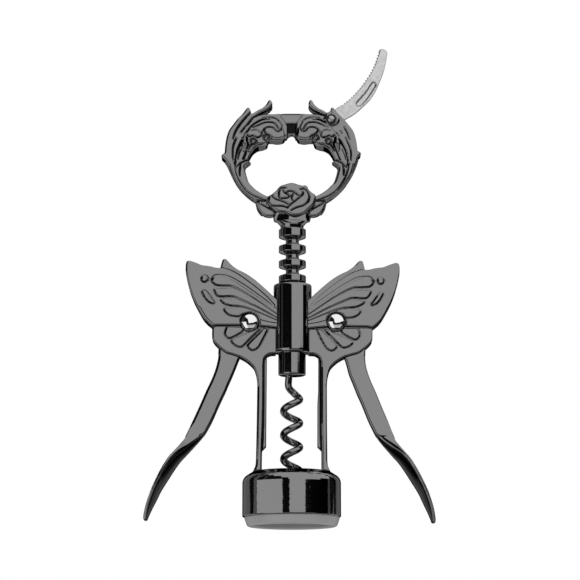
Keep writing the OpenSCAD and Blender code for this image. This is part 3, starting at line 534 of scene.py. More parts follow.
def frame_side(side, settings):
    """The post and both wings of one side, with x outward."""
    block = Block((5, 0, 21.2), (43.4, UPPER_FACE + 0.6, 106.6), (0.24, 0.45, 0.24))
    x, z = unlean(block.gx, block.gz, side)
    relief, lower_relief = wing_reliefs(x, z, settings.cell_height)
    rim = groove(np.abs(to_path(x, z, smooth_path(WING_TIP[15:]))[0] - 0.9), 0.05, 0.25)
    upper = to_outline(x, z, np.vstack([smooth_path(WING_TOP), smooth_path(WING_TIP), WING_STEP]))
    inner_corner = arc((7.9, 64.5), 3.5, 0, 90)
    lower = np.vstack([smooth_path(LOWER_WING), [(12.4, 52)], inner_corner, [(5, 68), (5, 82), (29, 82)]])
    lower = to_outline(x, z, lower)
    post = np.vstack([smooth_path(LOWER_WING[9:]), smooth_path(POST_OUTER), POST_INNER])
    post = to_outline(x, z, post)
    flange = to_outline(x - 0.3 * (side > 0) * blend_step(z, 48, 54), z, FLANGE)

    edge_r, web_width, web_half = 0.5, 2, 3
    field = block.plate(lower, INNER_FACE, LOWER_FACE + lower_relief, edge_r)
    field = np.minimum(field, block.plate(post, -LOWER_FACE, LOWER_FACE, 1.5 * edge_r))
    flange_half = 1.4 - 0.1 * side * (x - 11)
    field = join(field, block.plate(flange, -flange_half, flange_half, 0.5 * edge_r), 0.12)
    field = join(field, block.plate(upper, INNER_FACE, UPPER_FACE + relief + rim, edge_r), 0.2)
    web = np.maximum(to_path(x, z, smooth_path(WING_TOP[2:13]))[0] - web_width, upper)
    field = join(field, block.plate(web, -web_half, web_half, 0.4), 0.5)

    # Room for the lever's gear, seats of the rivet's heads, and room for the barrel
    gear_room, seat_r, seat_floor = 0.3, 3.9, 2.9
    away = np.hypot(block.gx - PIVOT_X, block.gz - PIVOT_Z)
    field = cut(field, block.plate(away - GEAR_TIP_R - gear_room, -INNER_FACE, INNER_FACE, 0.1), 0.15)
    seat_x, seat_z = rivet_seat(side)
    seat = (np.hypot(block.gx - seat_x, block.gz - seat_z) - seat_r)[:, None, :]
    field = cut(field, np.maximum(seat, seat_floor - block.y[None, :, None]), 0.12)
    wide = np.hypot(block.gx[:, None, :], block.y[None, :, None]) - BARREL_R + 0.12
    tall = np.abs(block.gz - (BARREL_LOW + BARREL_HIGH) / 2) - (BARREL_HIGH - BARREL_LOW) / 2 - 1
    field = cut(field, np.maximum(wide, tall[:, None, :]), 0.1)
    verts, faces = surface(field.astype(np.float32), block)

    # Painted shade: dark lines beside the cells, faint near the barrel, and under the wings' edges
    step = block.step[::2]
    slope_x, slope_z = np.gradient(relief, *step)
    shade = np.abs(slope_x) + 1.2 * np.maximum(-slope_x, 0) + slope_z
    shade = np.clip(1.6 * shade, 0, 1) * (upper < -0.4)
    shade = shade * (0.3 + 0.7 * blend_step(x - 0.49 * (z - 83.8), 17.8, 21.8))
    low_x, low_z = np.gradient(lower_relief, *step)
    shade = np.maximum(shade, np.clip(1.6 * (np.abs(low_x) + low_z), 0, 1) * (upper > 0.3))
    under = np.zeros(x.shape)
    for shape in (upper, np.minimum(np.minimum(lower, post), upper)):
        downward = -np.gradient(shape, *step)[1]
        near = blend_step(-np.abs(shape), -0.6, -0.4)
        under = np.maximum(under, near * blend_step(downward, -0.35, 0.05))
    depth = np.abs(verts[:, 1])
    walls = (depth < LOWER_FACE - 0.1) | ((depth > LOWER_FACE + 0.1) & (depth < UPPER_FACE - 0.1))
    return verts, faces, np.maximum(spread(block, shade, verts), spread(block, under, verts) * walls)


def on_side(shape, side):
    """A shape with x outward, on the right or mirrored to the left."""
    verts, faces, painted_shade = shape
    return shape if side > 0 else (verts * (-1, 1, 1), faces[:, ::-1], painted_shade)


def barrel():
    """The guide barrel with a window on each side for the gears."""
    high, bore, rounding, window_half = BARREL_HIGH + 0.25, 5.52, 0.7, 10.85
    block = Block((-8, 0, BARREL_LOW), (8, 8, high), 0.4)
    y = block.y[None, :, None]
    r = np.hypot(block.x[:, None, None], y)
    half = (high - BARREL_LOW) / 2
    z = block.z[None, None, :] - BARREL_LOW - half
    a, b = r - BARREL_R + 0.55, np.abs(z) - half + rounding
    corner = np.hypot(np.maximum(a, 0), np.maximum(b, 0))
    body = corner + np.minimum(np.maximum(a, b), 0) - rounding
    field = cut(body, r - bore, 0.2)
    window = np.maximum(np.abs(block.z - PIVOT_Z)[None, None, :] - window_half, y - INNER_FACE)
    return surface(cut(field, window + 0 * r, 0.25).astype(np.float32), block)


# ---- Levers ----
def involute(r):
    """Angle by which a tooth's flank has come round at a radius."""
    a = math.acos(min(1, GEAR_PITCH_R * math.cos(PRESSURE_ANGLE) / r))
    return math.tan(a) - a


def gear_teeth():
    """Outlines of a lever's six teeth, which face the sleeve."""
    base = GEAR_PITCH_R * math.cos(PRESSURE_ANGLE)
    step = TOOTH_PITCH / GEAR_PITCH_R
    for k in range(-1, 5):
        middle_angle = math.pi - (k + 0.5) * step
        flank = []
        for r in (GEAR_ROOT_R - 1.5, base, base + 0.5, GEAR_PITCH_R, GEAR_PITCH_R + 0.6, GEAR_TIP_R):
            half = TOOTH_WIDTH / 2 / GEAR_PITCH_R + involute(GEAR_PITCH_R) - involute(max(r, base))
            flank.append((r, half))
        around = [(r, middle_angle - h) for r, h in flank]
        around += [(r, middle_angle + h) for r, h in reversed(flank)]
        yield [(PIVOT_X + r * math.cos(a), PIVOT_Z + r * math.sin(a)) for r, a in around]


def lever(side):
    """A lever: its gear, its bar, and a paddle that is a crescent with the hollow face outward."""
    block = Block((2.6, 0, 1), (59, 7.2, 95), 0.3)
    x, z = block.gx, block.gz
    if side > 0:
        away = np.hypot(x - PIVOT_X, z - PIVOT_Z)
        x, z = turned(x, z, PIVOT, LEVER_TURN, blend_step(away, 14, 22))
        x = x + np.interp(away, *zip(*LEVER_ASKEW))
    # The gear: a disc under the teeth, the sector up to their roots, and the teeth
    gear = np.hypot(x - PIVOT_X, z - PIVOT_Z) - GEAR_ROOT_R + 1
    step = math.degrees(TOOTH_PITCH / GEAR_PITCH_R)
    first, last = 213, 174 - 4.5 * step
    sector = np.vstack([[PIVOT], arc(PIVOT, GEAR_ROOT_R, first, last, 30)])
    for shape in [sector, *gear_teeth()]:
        gear = np.minimum(gear, to_outline(x, z, shape))
    bar = to_outline(x, z, np.vstack([smooth_path(LEVER_OUT), smooth_path(LEVER_IN)]))
    field = block.plate(gear, -LEVER_HALF, LEVER_HALF, 0.3)
    field = join(field, block.plate(bar, -LEVER_HALF, LEVER_HALF, 0.8), 0.5)
    hole = np.hypot(block.gx - PIVOT_X, block.gz - PIVOT_Z) - PIVOT_HOLE_R
    field = cut(field, hole[:, None, :] + 0 * field, 0.1)
    verts, faces = surface(join(field, paddle(block, x, z), 0.6).astype(np.float32), block)

    # Painted shade: dark edges of the bar, and a dark inner side of the paddle
    facing = normals(verts, faces)
    edge = blend_step(1 - np.abs(facing[:, 1]), 0.04, 0.2) * blend_step(70 - verts[:, 2], 0, 4)
    shade = np.where(facing[:, 0] < 0, 0.9, 0.75 * blend_step(verts[:, 2], 38, 42))
    return verts, faces, edge * shade


def paddle(block, x, z):
    """The paddle, whose inner side bulges and whose outer side is hollow from front to back."""
    inset = 0.08
    inner_edge, (half, bow) = to_path(x, z, smooth_path(PADDLE_IN, 6), sided=True)
    inner_edge = inner_edge - inset
    outer_edge = -to_path(x, z, smooth_path(PADDLE_OUT, 6), sided=True)[0] - inset
    half, bow, w = half[:, None, :], bow[:, None, :], inner_edge[:, None, :]
    depth = np.maximum(inner_edge + outer_edge, 0.5)[:, None, :]
    y = block.y[None, :, None]
    share = np.minimum(y / half, 1.3)
    wall, lip = 2.1, 1.3
    hollow, rim = np.maximum(depth - wall, 0), np.maximum(depth - lip, 0)
    inner = bow * share**2 * rim
    outer = depth - bow * (1 - share**2) * hollow
    steep = np.sqrt(1 + (2 * bow * share / half * rim) ** 2)
    field = -join((w - inner) / steep, (outer - w) / steep, 0.6)
    field = -join(-field, half - y, 0.6)
    top, tip = 45, 2.4
    top_and_tip = np.maximum(z - top, tip - z)[:, None, :]
    return -join(-field, -top_and_tip, 0.5)


# ---- Handle ----
# Grooves between the leaves and along the scrolls: x, z, half width
LEAF_GROOVES = [
    [(16.7, 167.2, 0.3), (17.8, 165.9, 0.33), (18.8, 164.8, 0.36), (20, 163.4, 0.38),
     (21.2, 161.8, 0.36), (22.05, 160.5, 0.35), (22.9, 159, 0.3), (23.5, 157.5, 0.28),
     (24.1, 155.6, 0.2)],
    [(22.5, 156.4, 0.22), (23.4, 154.2, 0.3), (23.9, 152.4, 0.3), (24.1, 150.2, 0.28),
     (24.1, 148.5, 0.25), (24, 146.8, 0.2)],
    [(13.4, 166.1, 0.45), (14.6, 165.4, 0.4), (15.8, 164.7, 0.36), (16.9, 163.4, 0.35),
     (18.1, 161.8, 0.33), (19.4, 160.4, 0.3), (20.6, 158.8, 0.25), (21, 158.2, 0.2)],
    [(9.3, 164.15, 0.3), (11.7, 163.95, 0.42), (13.1, 163.35, 0.42), (14.6, 162.5, 0.4),
     (15.8, 161.6, 0.36), (17.1, 160.3, 0.33), (18.1, 159, 0.3), (19.2, 157.8, 0.27),
     (19.8, 156.9, 0.25)],
    [(15.9, 160.6, 0.3), (14.2, 161.3, 0.33), (12.7, 162, 0.33), (11.7, 162.4, 0.33),
     (10.2, 162.8, 0.33), (8.8, 162.8, 0.33), (7.5, 162.6, 0.33), (6.5, 161.8, 0.33), (5.7, 160.6, 0.3),
     (5.2, 159.7, 0.25)],
    [(4, 161.2, 0.25), (4.2, 160.2, 0.33), (4.7, 159.4, 0.33), (5.5, 159, 0.33), (6.3, 159.2, 0.33),
     (7.1, 160.1, 0.33), (7.8, 160.6, 0.33), (8.8, 160.85, 0.33), (9.8, 160.75, 0.33),
     (10.7, 160.4, 0.35), (11.3, 159.8, 0.4), (11.2, 159, 0.4), (10.5, 158.2, 0.35), (9.6, 157.7, 0.33),
     (8.7, 157.3, 0.33), (8.2, 156.6, 0.3)],
    [(12, 164.6, 0.18), (9.6, 164.9, 0.2), (7.9, 164.7, 0.22), (6.5, 164.2, 0.22), (5.4, 163.3, 0.22),
     (4.6, 162.2, 0.22), (4.1, 161.2, 0.25)],
    [(19.9, 155.6, 0.5), (20.8, 154.1, 0.5), (21.5, 152.6, 0.42), (22.1, 151.1, 0.4),
     (22.4, 149.6, 0.36), (22.7, 148.1, 0.33), (22.9, 146.6, 0.33), (22.9, 145.2, 0.33),
     (22.3, 144.1, 0.3)],
    [(20.7, 151.6, 0.2), (21.3, 150.3, 0.25), (21.8, 148.8, 0.25), (22.1, 147.3, 0.22)],
    [(18, 154.8, 0.45), (17.6, 153.4, 0.5), (18.2, 151.6, 0.35), (18.8, 149.9, 0.35),
     (19.3, 148.6, 0.35), (19.8, 147.3, 0.35)],
    [(17.4, 147.1, 0.33), (18.8, 146.8, 0.4), (19.7, 146.4, 0.4), (21, 145.5, 0.35), (22, 144.4, 0.3)],
    [(20.8, 146, 0.3), (21.1, 143.9, 0.36), (21.2, 142.1, 0.36), (21.1, 140.5, 0.25)],
    [(14.4, 155.2, 0.4), (15.3, 154.2, 0.4), (16.4, 153.4, 0.4), (17.2, 152.2, 0.35),
     (17.8, 150.6, 0.25)],
    [(17.9, 157.5, 0.4), (17.1, 156.8, 0.4), (15.9, 157.3, 0.33), (14.9, 156.9, 0.33),
     (13.9, 156.5, 0.4), (12.8, 156.9, 0.35), (12.3, 157.9, 0.3), (12, 159.3, 0.22)],
    [(16.2, 159.3, 0.2), (14.6, 159.7, 0.22), (13.3, 158.9, 0.22), (12.6, 158.1, 0.25)],
    [(18.3, 156.6, 0.5), (18.2, 155, 0.5)],
    [(25.2, 145.4, 0.2), (24.3, 141.9, 0.24), (23, 138.6, 0.26), (21.5, 136, 0.26), (19.8, 133.9, 0.26),
     (17.4, 132, 0.24), (14.8, 130.5, 0.2)],
    [(23.4, 146, 0.2), (22.6, 142, 0.25), (21.2, 138.5, 0.28), (19.6, 136, 0.28), (17.8, 134, 0.28),
     (15.2, 132.3, 0.28), (12.5, 131.2, 0.28), (10.2, 130.2, 0.28)],
    [(13.3, 129.3, 0.2), (11.6, 128.4, 0.28), (9.5, 127.3, 0.3), (7.9, 126.4, 0.32), (7, 125.5, 0.3)],
    [(14.6, 130.3, 0.3), (12.8, 129.5, 0.2)]]
# The set-back bar in the middle
BAR = [(-9, 168), (5.3, 168), (4.9, 166), (4.2, 164.6), (3.2, 163.3), (2.3, 161.8), (1.8, 160.5),
       (1.8, 157), (-9, 157)]
# Where the scrolls step forward of the leaves, from outside to the middle
SCROLL_EDGE = [(19.6, 151), (20, 153.5), (20, 155.5), (19.8, 156.9), (19.2, 157.8), (18.1, 159),
               (17.1, 160.3), (15.8, 161.6), (14.6, 162.5), (13.1, 163.35), (11.7, 163.95), (9.3, 164.4),
               (7.9, 164.5), (6.5, 164.1), (5.4, 163.2), (4.6, 162.1), (4, 161), (3.4, 159.5), (3, 157),
               (3, 154)]
# Pearls under the scrolls: x, z, radius; and their middles' distance from the middle plane
PEARLS = [(15.6, 154.9, 1), (10.4, 156.4, 1)]
PEARL_Y = 4.4
# Grooves between the rose's petals
PETAL_GROOVES = [
    [(3.3, 134.2), (4.6, 134.5), (5.6, 134), (6.4, 132.8), (6.8, 131), (6.5, 129.5), (5.7, 128.4),
     (4.2, 127.4), (2.4, 126.9), (0.8, 126.2), (-0.3, 125.5)],
    [(4.3, 133.2), (4.2, 132.2), (3.4, 131.2), (2.5, 130.4), (1.2, 129.3), (0, 128.4), (-1.2, 127.3),
     (-2, 126.6)],
    [(-2.6, 134.9), (-3.8, 134.8), (-4.8, 134.4), (-5.3, 133.4), (-5.4, 132.2), (-5.2, 131),
     (-4.6, 130.2)],
    [(-8.2, 132.3), (-7.9, 131.3), (-7, 130.5), (-5.8, 129.9), (-4.4, 129.5), (-3, 128.9),
     (-1.6, 128.2)],
    [(-9.7, 131.3), (-9.8, 130.2), (-9.4, 128.9), (-8.6, 127.9), (-7.4, 127.4), (-4.2, 127.3),
     (-2.8, 127), (-1.8, 126.6)],
    [(-2.6, 132.5), (-1.8, 133.2), (-0.8, 133.5), (0.3, 133.3), (1.2, 132.8), (2.2, 132), (3, 131.6)],
    [(-3.6, 133.9), (-3.3, 133.2), (-2.6, 132.6), (-1.6, 132), (-1.2, 131.2), (-1.8, 130.7), (-3, 130.5),
     (-4.3, 130.5)],
    [(0.9, 132.6), (0.2, 131.9), (-0.3, 131), (0, 130.1), (0.8, 129.3)]]
# The rose stands a little above its outline, the set-back bar ends here, and the scrolls lie in the
# handle's upper part; leaves stay smooth around one place of the ring: x, z
ROSE_RISE = 0.25
BAR_BOTTOM = 162.3
UPPER_PART = 150
SMOOTH_SPOT = (17.5, 162.5)
# How far the ring sits to the left, by height
RING_ASKEW = [(124, 0.9), (130, 0.8), (138, 0.4), (142, 0), (147, 0.2), (150, 0.7), (158, 0.8), (166, 1.2),
              (170, 1.4)]
# The blade's pivot, its seat's distance from the middle plane, its rivet's head from the pivot, and
# its slot from the pivot
BLADE_PIVOT = (16.2, 164.2)
BLADE_SEAT = 4.7
BLADE_HEAD = (-0.4, -0.5)
BLADE_SLOT = [(-39, -2.4), (-3, -2.4), (0, -3.3), (1.8, -2.7), (2.9, -1.7), (6.4, 0.3), (9.5, 2.1),
              (9.5, 14), (-39, 14)]


def half_outline(curves, low, high):
    """An outline's right half from chained curves, shut to the left of the middle."""
    return np.vstack([[(-9, high)], *(smooth_path(points, 4) for points in curves), [(-9, low)]])


def handle_ring(settings):
    """The handle: scrolls and leaves parted by grooves, a set-back bar in the middle, and the rose."""
    block = Block((-29, 0, 122), (29, 6.2, 173.4), (0.22, 0.6, 0.22))
    x, z, y = block.gx, block.gz, block.y[None, :, None]
    rim_x = np.abs(x + np.interp(z, *zip(*RING_ASKEW)) * blend_step(x, 2, 8))
    z = z - 1.1 * blend_step(x, 24, 27) * blend_step(-np.abs(z - 149), -4, -1)
    outward = np.abs(x + (0.5 + 0.4 * blend_step(z, UPPER_PART, UPPER_PART + 5)) * blend_step(x, 0, 2))
    upper_part = z > UPPER_PART

    # Half thickness: the scrolls stand out, and the lower leaves lie back. The outlines are drawn as the
    # front face shows them from a little below, so a thicker place is taken from higher up.
    leaf_half, scroll_rise, low_drop, tilt = 4, 1.5, 1.8, 0.26
    scroll = to_outline(outward, z + 0.45, np.vstack([smooth_path(SCROLL_EDGE), [(3, 148), (19, 148)]]))
    upward = blend_step(z, UPPER_PART, UPPER_PART + 4)
    thick = leaf_half + scroll_rise * blend_step(-scroll, -0.25, 0.3) * upward
    thick = thick - low_drop * blend_step(-z, -130.5, -130.1)
    seen_z = z + tilt * (thick - 3)
    outer = to_outline(rim_x, seen_z, half_outline(RING_OUTER, 126.1, 166.7))
    hole = to_outline(outward, seen_z, half_outline(RING_INNER, 132.3, 157.8))
    body = np.maximum(outer, -hole)
    rose = to_outline(x, z - ROSE_RISE, smooth_path(ROSE, 4, True))
    hole_rim = blend_step(-hole, -0.75, -0.35) * blend_step(-outward, -12.5, -10.5)
    face = thick - 1.6 * hole_rim * upper_part
    set_back = np.where(seen_z > BAR_BOTTOM, 3.6, 0.8 + 0.45 * np.maximum(seen_z - 158, 0))
    face = np.where(to_outline(outward, seen_z, BAR) < 0, set_back, face)

    # Grooves with painted shade in them; painted shade also round the pearls and in the notch between the
    # scrolls
    carved = blend_step(np.hypot(x - SMOOTH_SPOT[0], z - SMOOTH_SPOT[1]), 3.5, 5)
    dug = np.zeros(x.shape)
    for points in LEAF_GROOVES:
        away, (half,) = to_path(outward, seen_z, smooth_path(points, 4))
        dug = np.maximum(dug, 2.4 * settings.leaf_depth * np.maximum(0.95 * half - away, 0) * carved)
    dark = np.clip(dug / 0.45, 0, 1) * (rose > 0.3)
    for px, pz, r in PEARLS:
        away = np.hypot(outward - px, seen_z - pz) - r
        dug = np.maximum(dug, 1.2 * blend_step(away, 0.55, 0.25))
        dark = np.where(away < 0.1, 0, np.maximum(dark, blend_step(away, 0.5, 0.3)))
    notch = blend_step(np.abs(x), 2.4, 2) * blend_step(seen_z, BAR_BOTTOM + 0.4, BAR_BOTTOM + 0.1)
    dark = np.maximum(dark, 0.95 * notch * (seen_z > UPPER_PART))
    face = face - dug

    # The body, its pearls, a thin rib inside the lower half, and the rose with its petals
    field = block.plate(body, -face, face, 0.6)
    for px, pz, r in PEARLS:
        ball = (outward - px) ** 2 + (seen_z - pz) ** 2
        ball = np.sqrt(ball[:, None, :] + (y - PEARL_Y) ** 2) - r
        field = np.minimum(field, np.maximum(ball, 3 - y))
    rib_x, rib_top, rib_half = 12, 147, 1.5
    rib = np.maximum(body - 0.45, np.maximum(rib_x - outward, seen_z - rib_top))
    field = np.minimum(field, block.plate(rib, -rib_half, rib_half, 0.2))
    petals = 5.3 - 0.02 * (z - 124)
    for line in PETAL_GROOVES:
        away = to_path(x, z - ROSE_RISE, smooth_path(line, 4))[0]
        petals = petals + groove(away, 0.6, 0.4)
        # Painted shade along the grooves between the petals
        dark = np.where(rose < 0, np.maximum(dark, blend_step(away, 0.3, 0.12)), dark)
    field = join(field, block.plate(rose, -petals, petals, 0.9), 0.3)

    # The blade's boss and slot, and room for the spindle's flange
    boss_r, slot_r, slot_half, flange_r = 3, 3.3, 0.6, 8
    px, pz = block.gx - BLADE_PIVOT[0], block.gz - BLADE_PIVOT[1]
    away = np.hypot(px, pz)
    field = join(field, block.plate(away - boss_r, -BLADE_SEAT, BLADE_SEAT, 0.5), 0.3)
    # Painted shade in a ring round the blade rivet's head
    under_head = blend_step(np.hypot(px - BLADE_HEAD[0], pz - BLADE_HEAD[1]), 2.3, 2)
    dark = np.maximum(dark, under_head * blend_step(-away, -9, -2))
    slot = np.minimum(to_outline(px, pz, BLADE_SLOT), away - slot_r)
    field = cut(field, block.plate(slot, -slot_half, slot_half, 0.1), 0.15)
    foot = np.hypot(block.gx[:, None, :], y / FLANGE_FLATNESS) - flange_r
    foot = np.maximum(foot, (block.gz - FLANGE_TOP)[:, None, :])
    verts, faces = surface(cut(field, foot, 0.1).astype(np.float32), block)
    return verts, faces, spread(block, dark, verts) * (np.abs(verts[:, 1]) > 1.2)


# ---- Foil blade ----
CUT_EDGE = [(16.6, 167.4), (18, 169.2), (21, 171.3), (24.5, 174.3), (27.6, 177.8), (30, 181),
            (31.9, 184), (33.5, 187.5), (35.1, 192.3), (35.8, 194.2)]
BLADE_BACK = [(36.5, 194.6), (37.3, 194.5), (38.3, 194.1), (39, 193), (38.9, 191.5), (38.4, 188.5),
              (37.8, 185.5), (36.9, 182.5), (35.7, 179.5), (34.5, 176.8), (33, 174.2), (31.2, 172),
              (29.3, 170.2), (27, 168.2), (24.4, 166.3), (22.3, 165.1), (19.4, 163.2)]
NICK = [(26.4, 171.5), (28.3, 174), (30.3, 176.3), (32, 179), (33.2, 180.5), (34.2, 180.2),
        (34.6, 179.2), (34, 178), (32, 174.9), (30, 172.2), (28.6, 170.9), (27.3, 170.4)]


def foil_blade():
    """The foil blade: thin at its toothed edge, with a nail nick in each side."""
    block = Block((12.6, 0, 161), (39, 0.45, 195), (0.2, 0.1, 0.2))
    bend = 0.35 * blend_step(block.gz, 166, 172) - 0.3 * blend_step(block.gz, 180, 192)
    x, z = block.gx + bend, block.gz
    edge, back = smooth_path(CUT_EDGE), smooth_path(BLADE_BACK)
    root = np.hypot(x - BLADE_PIVOT[0], z - BLADE_PIVOT[1])
    shape = np.minimum(to_outline(x, z, np.vstack([[BLADE_PIVOT], edge, back])), root - 3)
    first_tooth, tooth_step, tooth_r = 6, 1.3, 0.45
    lengths = np.concatenate([[0], np.cumsum(np.hypot(*np.diff(edge, axis=0).T))])
    for s in np.arange(first_tooth, lengths[-1] - 1, tooth_step):
        at = [np.interp(s, lengths, edge[:, k]) for k in (0, 1)]
        shape = np.maximum(shape, tooth_r - np.hypot(x - at[0], z - at[1]))
    half = 0.15 + 0.3 * blend_step(to_path(x, z, edge[8:])[0], 0, 0.5)
    nick = to_outline(x, z, smooth_path(NICK, 4, True))
    half = half - 0.25 * blend_step(-nick, -0.1, 0.5)
    # Painted shade along the blade's edges and round its nail nicks
    at_edge, at_nick = blend_step(shape, -0.35, -0.15), blend_step(-np.abs(nick), -0.35, -0.15)
    dark = np.maximum(0.4 * at_edge, 0.7 * at_nick)
    hole_r = 1.06
    field = np.maximum(block.plate(shape, -half, half, 0.08), (hole_r - root)[:, None, :])
    verts, faces = surface(field.astype(np.float32), block)
    return verts, faces, spread(block, dark, verts)


# ---- Round pieces: profiles as (radius, height, rounding) ----
def bell_profile():
    """The bell, a hollow cup with a rounded shoulder and the worm's hole in its top."""
    r, top = BELL_R - abs(BELL_SHIFT), BELL_TOP
    wall, hole_r, shoulder = 1.6, 5.5, 2.1
    outside = [(r - wall, BELL_FOOT, 0.2), (r, BELL_FOOT, 0.35), (r, top - 2.6, 3.5), (r - 4.1, top, 0.6)]
    inside = [(hole_r, top, 0.4), (hole_r, top - shoulder, 0.2), (r - 5.6, top - shoulder, 0.8),
              (r - wall, top - 5, 2)]
    return rounded(outside + inside)


def liner_profile():
    """The bell's liner, with a lip on which the corkscrew stands."""
    lip = BELL_R - 0.85
    return rounded([(15.6, 0, 0.9), (lip - 1.1, 0, 1.3), (lip, 3.2, 1), (lip, 3.8, 0),
                    (17.9, 3.8, 0), (17.9, 12, 0.4), (15.6, 12, 0.3)])


def sleeve_profile():
    """The sleeve, whose teeth go all round it."""
    bore, tip, root, pitch_line = 1.71, 5.45, 2.65, 4.05
    slope = math.tan(PRESSURE_ANGLE)
    width = TOOTH_PITCH - TOOTH_WIDTH - 0.15
    half_tip = width / 2 - (tip - pitch_line) * slope
    half_root = width / 2 + (pitch_line - root) * slope
    corners = [(bore, SLEEVE_LOW, 0), (root, SLEEVE_LOW, 0)]
    for k in range(-1, 7):
        z = PIVOT_Z + k * TOOTH_PITCH
        corners += [(root, z - half_root, 0.2), (tip, z - half_tip, 0.35)]
        if k < 6:
            corners += [(tip, z + half_tip, 0.35), (root, z + half_root, 0.2)]
    return rounded(corners + [(tip, SLEEVE_HIGH, 0.35), (bore, SLEEVE_HIGH, 0)], 4)


def spindle_profile():
    """The spindle: its rod, a neck that widens to the flange, and the stud in the handle."""
    rod, low, stud = 1.65, 66.4, 2.3
    neck, flange = SLEEVE_HIGH + 0.15, SLEEVE_HIGH + 3.2
    return rounded([(0, low, 0), (rod, low, 0), (rod, neck, 0), (4.55, neck, 0.2), (4.75, neck + 1.4, 1),
                    (6.2, flange - 0.1, 0.4), (7.3, flange, 0.4), (7.95, FLANGE_TOP, 0.4),
                    (stud, FLANGE_TOP, 0), (stud, FLANGE_TOP + 6, 0), (0, FLANGE_TOP + 6, 0)], 5)


def collar_profile():
    """The collar that joins the worm to the spindle."""
    r, low = 5.45, COLLAR_LOW - 0.3
    return rounded([(0, low, 0), (r, low, 0.7), (r, COLLAR_HIGH, 0.5), (0, COLLAR_HIGH, 0)])


def head_profile(radius, height, shank, back_reach):
    """A domed head that stands out along -Y, on a shank that reaches back."""
    sunk = 0.9
    angles = np.linspace(0, math.pi / 2, 24)[:-1]
    dome = [(radius * math.cos(a) ** 0.8, height * math.sin(a)) for a in angles]
    return [(0, -back_reach), (shank, -back_reach), (shank, -sunk), (radius, -sunk), *dome, (0, height)]


# ---- Worm ----
def worm(settings):
    """The worm's wire: a straight shank, a run out to the helix, and the helix to its point."""
    r, top = settings.wire_radius / MM, COLLAR_LOW - 5
    turns, pitch, helix_r, per_turn, point = 4.3, 9.5, 3.2, 40, 0.55
    t = np.linspace(0.5, turns, int(per_turn * (turns - 0.5)))
    angle = np.pi - 2 * np.pi * t
    helix = np.column_stack([helix_r * np.cos(angle), helix_r * np.sin(angle), top - pitch * t])
    start = [(-1.05, 0, COLLAR_LOW + 5), (-1.1, 0, COLLAR_LOW), (-1.2, 0.1, top + 3), (-1.3, 0.4, top + 1),
             (-0.8, 1.3, top - 0.4), (0.9, 2.2, top - 2), (2.6, 1.5, top - 3.7), tuple(helix[0])]
    path = np.vstack([smooth_path(start, 8)[:-1], helix])
    along = np.gradient(path, axis=0)
    along /= np.linalg.norm(along, axis=1)[:, None]
    left = np.arange(len(path))[::-1] / (per_turn * point)
    thick = r * np.clip(np.sqrt(np.minimum(1, left)), 0.1, 1)[:, None, None]
    sideways = np.cross(along, (0, 1, 0.001))
    sideways /= np.linalg.norm(sideways, axis=1)[:, None]
    other = np.cross(along, sideways)
    sides = 28
    turn = np.linspace(0, 2 * np.pi, sides, endpoint=False)[None, :, None]
    around = np.cos(turn) * sideways[:, None] + np.sin(turn) * other[:, None]
    verts = (path[:, None] + thick * around).reshape(-1, 3) + (WORM_SHIFT, 0, 0)
    faces = []
    for i in range(0, len(verts) - sides, sides):
        for k in range(sides):
            m = (k + 1) % sides
            faces.append((i + k, i + m, i + sides + m, i + sides + k))
    faces.append(tuple(range(sides))[::-1])
    faces.append(tuple(range(len(verts) - sides, len(verts))))
    return verts, faces


# ---- Materials ----
def linear(hex_colour):
    """A linear colour from an sRGB hex string."""
    out = []
    for k in (1, 3, 5):
        c = int(hex_colour[k:k + 2], 16) / 255
        out.append(c / 12.92 if c <= 0.04045 else ((c + 0.055) / 1.055) ** 2.4)
    return (*out, 1)


def add_node(tree, kind, inputs=None, output=0, **settings):
    """One output of a new node; each input is a constant, or a socket to link from."""
    node = tree.nodes.new(kind)
    for key, value in settings.items():
        setattr(node, key, value)
    for key, value in (inputs or {}).items():
        if isinstance(value, bpy.types.NodeSocket):
            tree.links.new(value, node.inputs[key])
        else:
            node.inputs[key].default_value = value
    return node.outputs[output] if node.outputs else None


def new_material(name):
    """A material with an empty node tree."""
    material = bpy.data.materials.new(name)
    material.use_nodes = True
    material.node_tree.nodes.clear()
    return material, material.node_tree


def fine_grain(tree, size_mm, detail, depth_mm, strength):
    """Noise in the object's own space, and the bumps that it makes."""
    place = add_node(tree, "ShaderNodeTexCoord", output="Object")
    inputs = {"Vector": place, "Scale": 1 / (size_mm * MM), "Detail": detail}
    grain = add_node(tree, "ShaderNodeTexNoise", inputs)
    inputs = {"Height": grain, "Distance": depth_mm * MM, "Strength": strength}
    return grain, add_node(tree, "ShaderNodeBump", inputs)


def plated_metal(name, colour, roughness, grain_mm=2.5, depth_mm=0.004):
    """Electroplated metal: mirror-like, with the faint unevenness of a buffed casting, and painted shade.
    """
    material, tree = new_material(name)
    grain, bump = fine_grain(tree, grain_mm, 3.0, depth_mm, 1.0)
    limits = {"From Min": 0.3, "From Max": 0.7, "To Min": roughness * 0.8, "To Max": roughness * 1.25}
    gloss = add_node(tree, "ShaderNodeMapRange", {"Value": grain, **limits})
    # Painted shade: a piece's painted shade value mixes the plating's colour towards near-black
    painted_shade = add_node(tree, "ShaderNodeAttribute", output="Fac", attribute_name="painted_shade")
    colours = {"Factor": painted_shade, 6: colour, 7: linear("#161616")}
    colour_with_painted_shade = add_node(tree, "ShaderNodeMix", colours, 2, data_type="RGBA")
    inputs = {"Base Color": colour_with_painted_shade, "Metallic": 1.0, "Roughness": gloss, "Normal": bump}
    shader = add_node(tree, "ShaderNodeBsdfPrincipled", inputs)
    add_node(tree, "ShaderNodeOutputMaterial", {"Surface": shader})
    return material


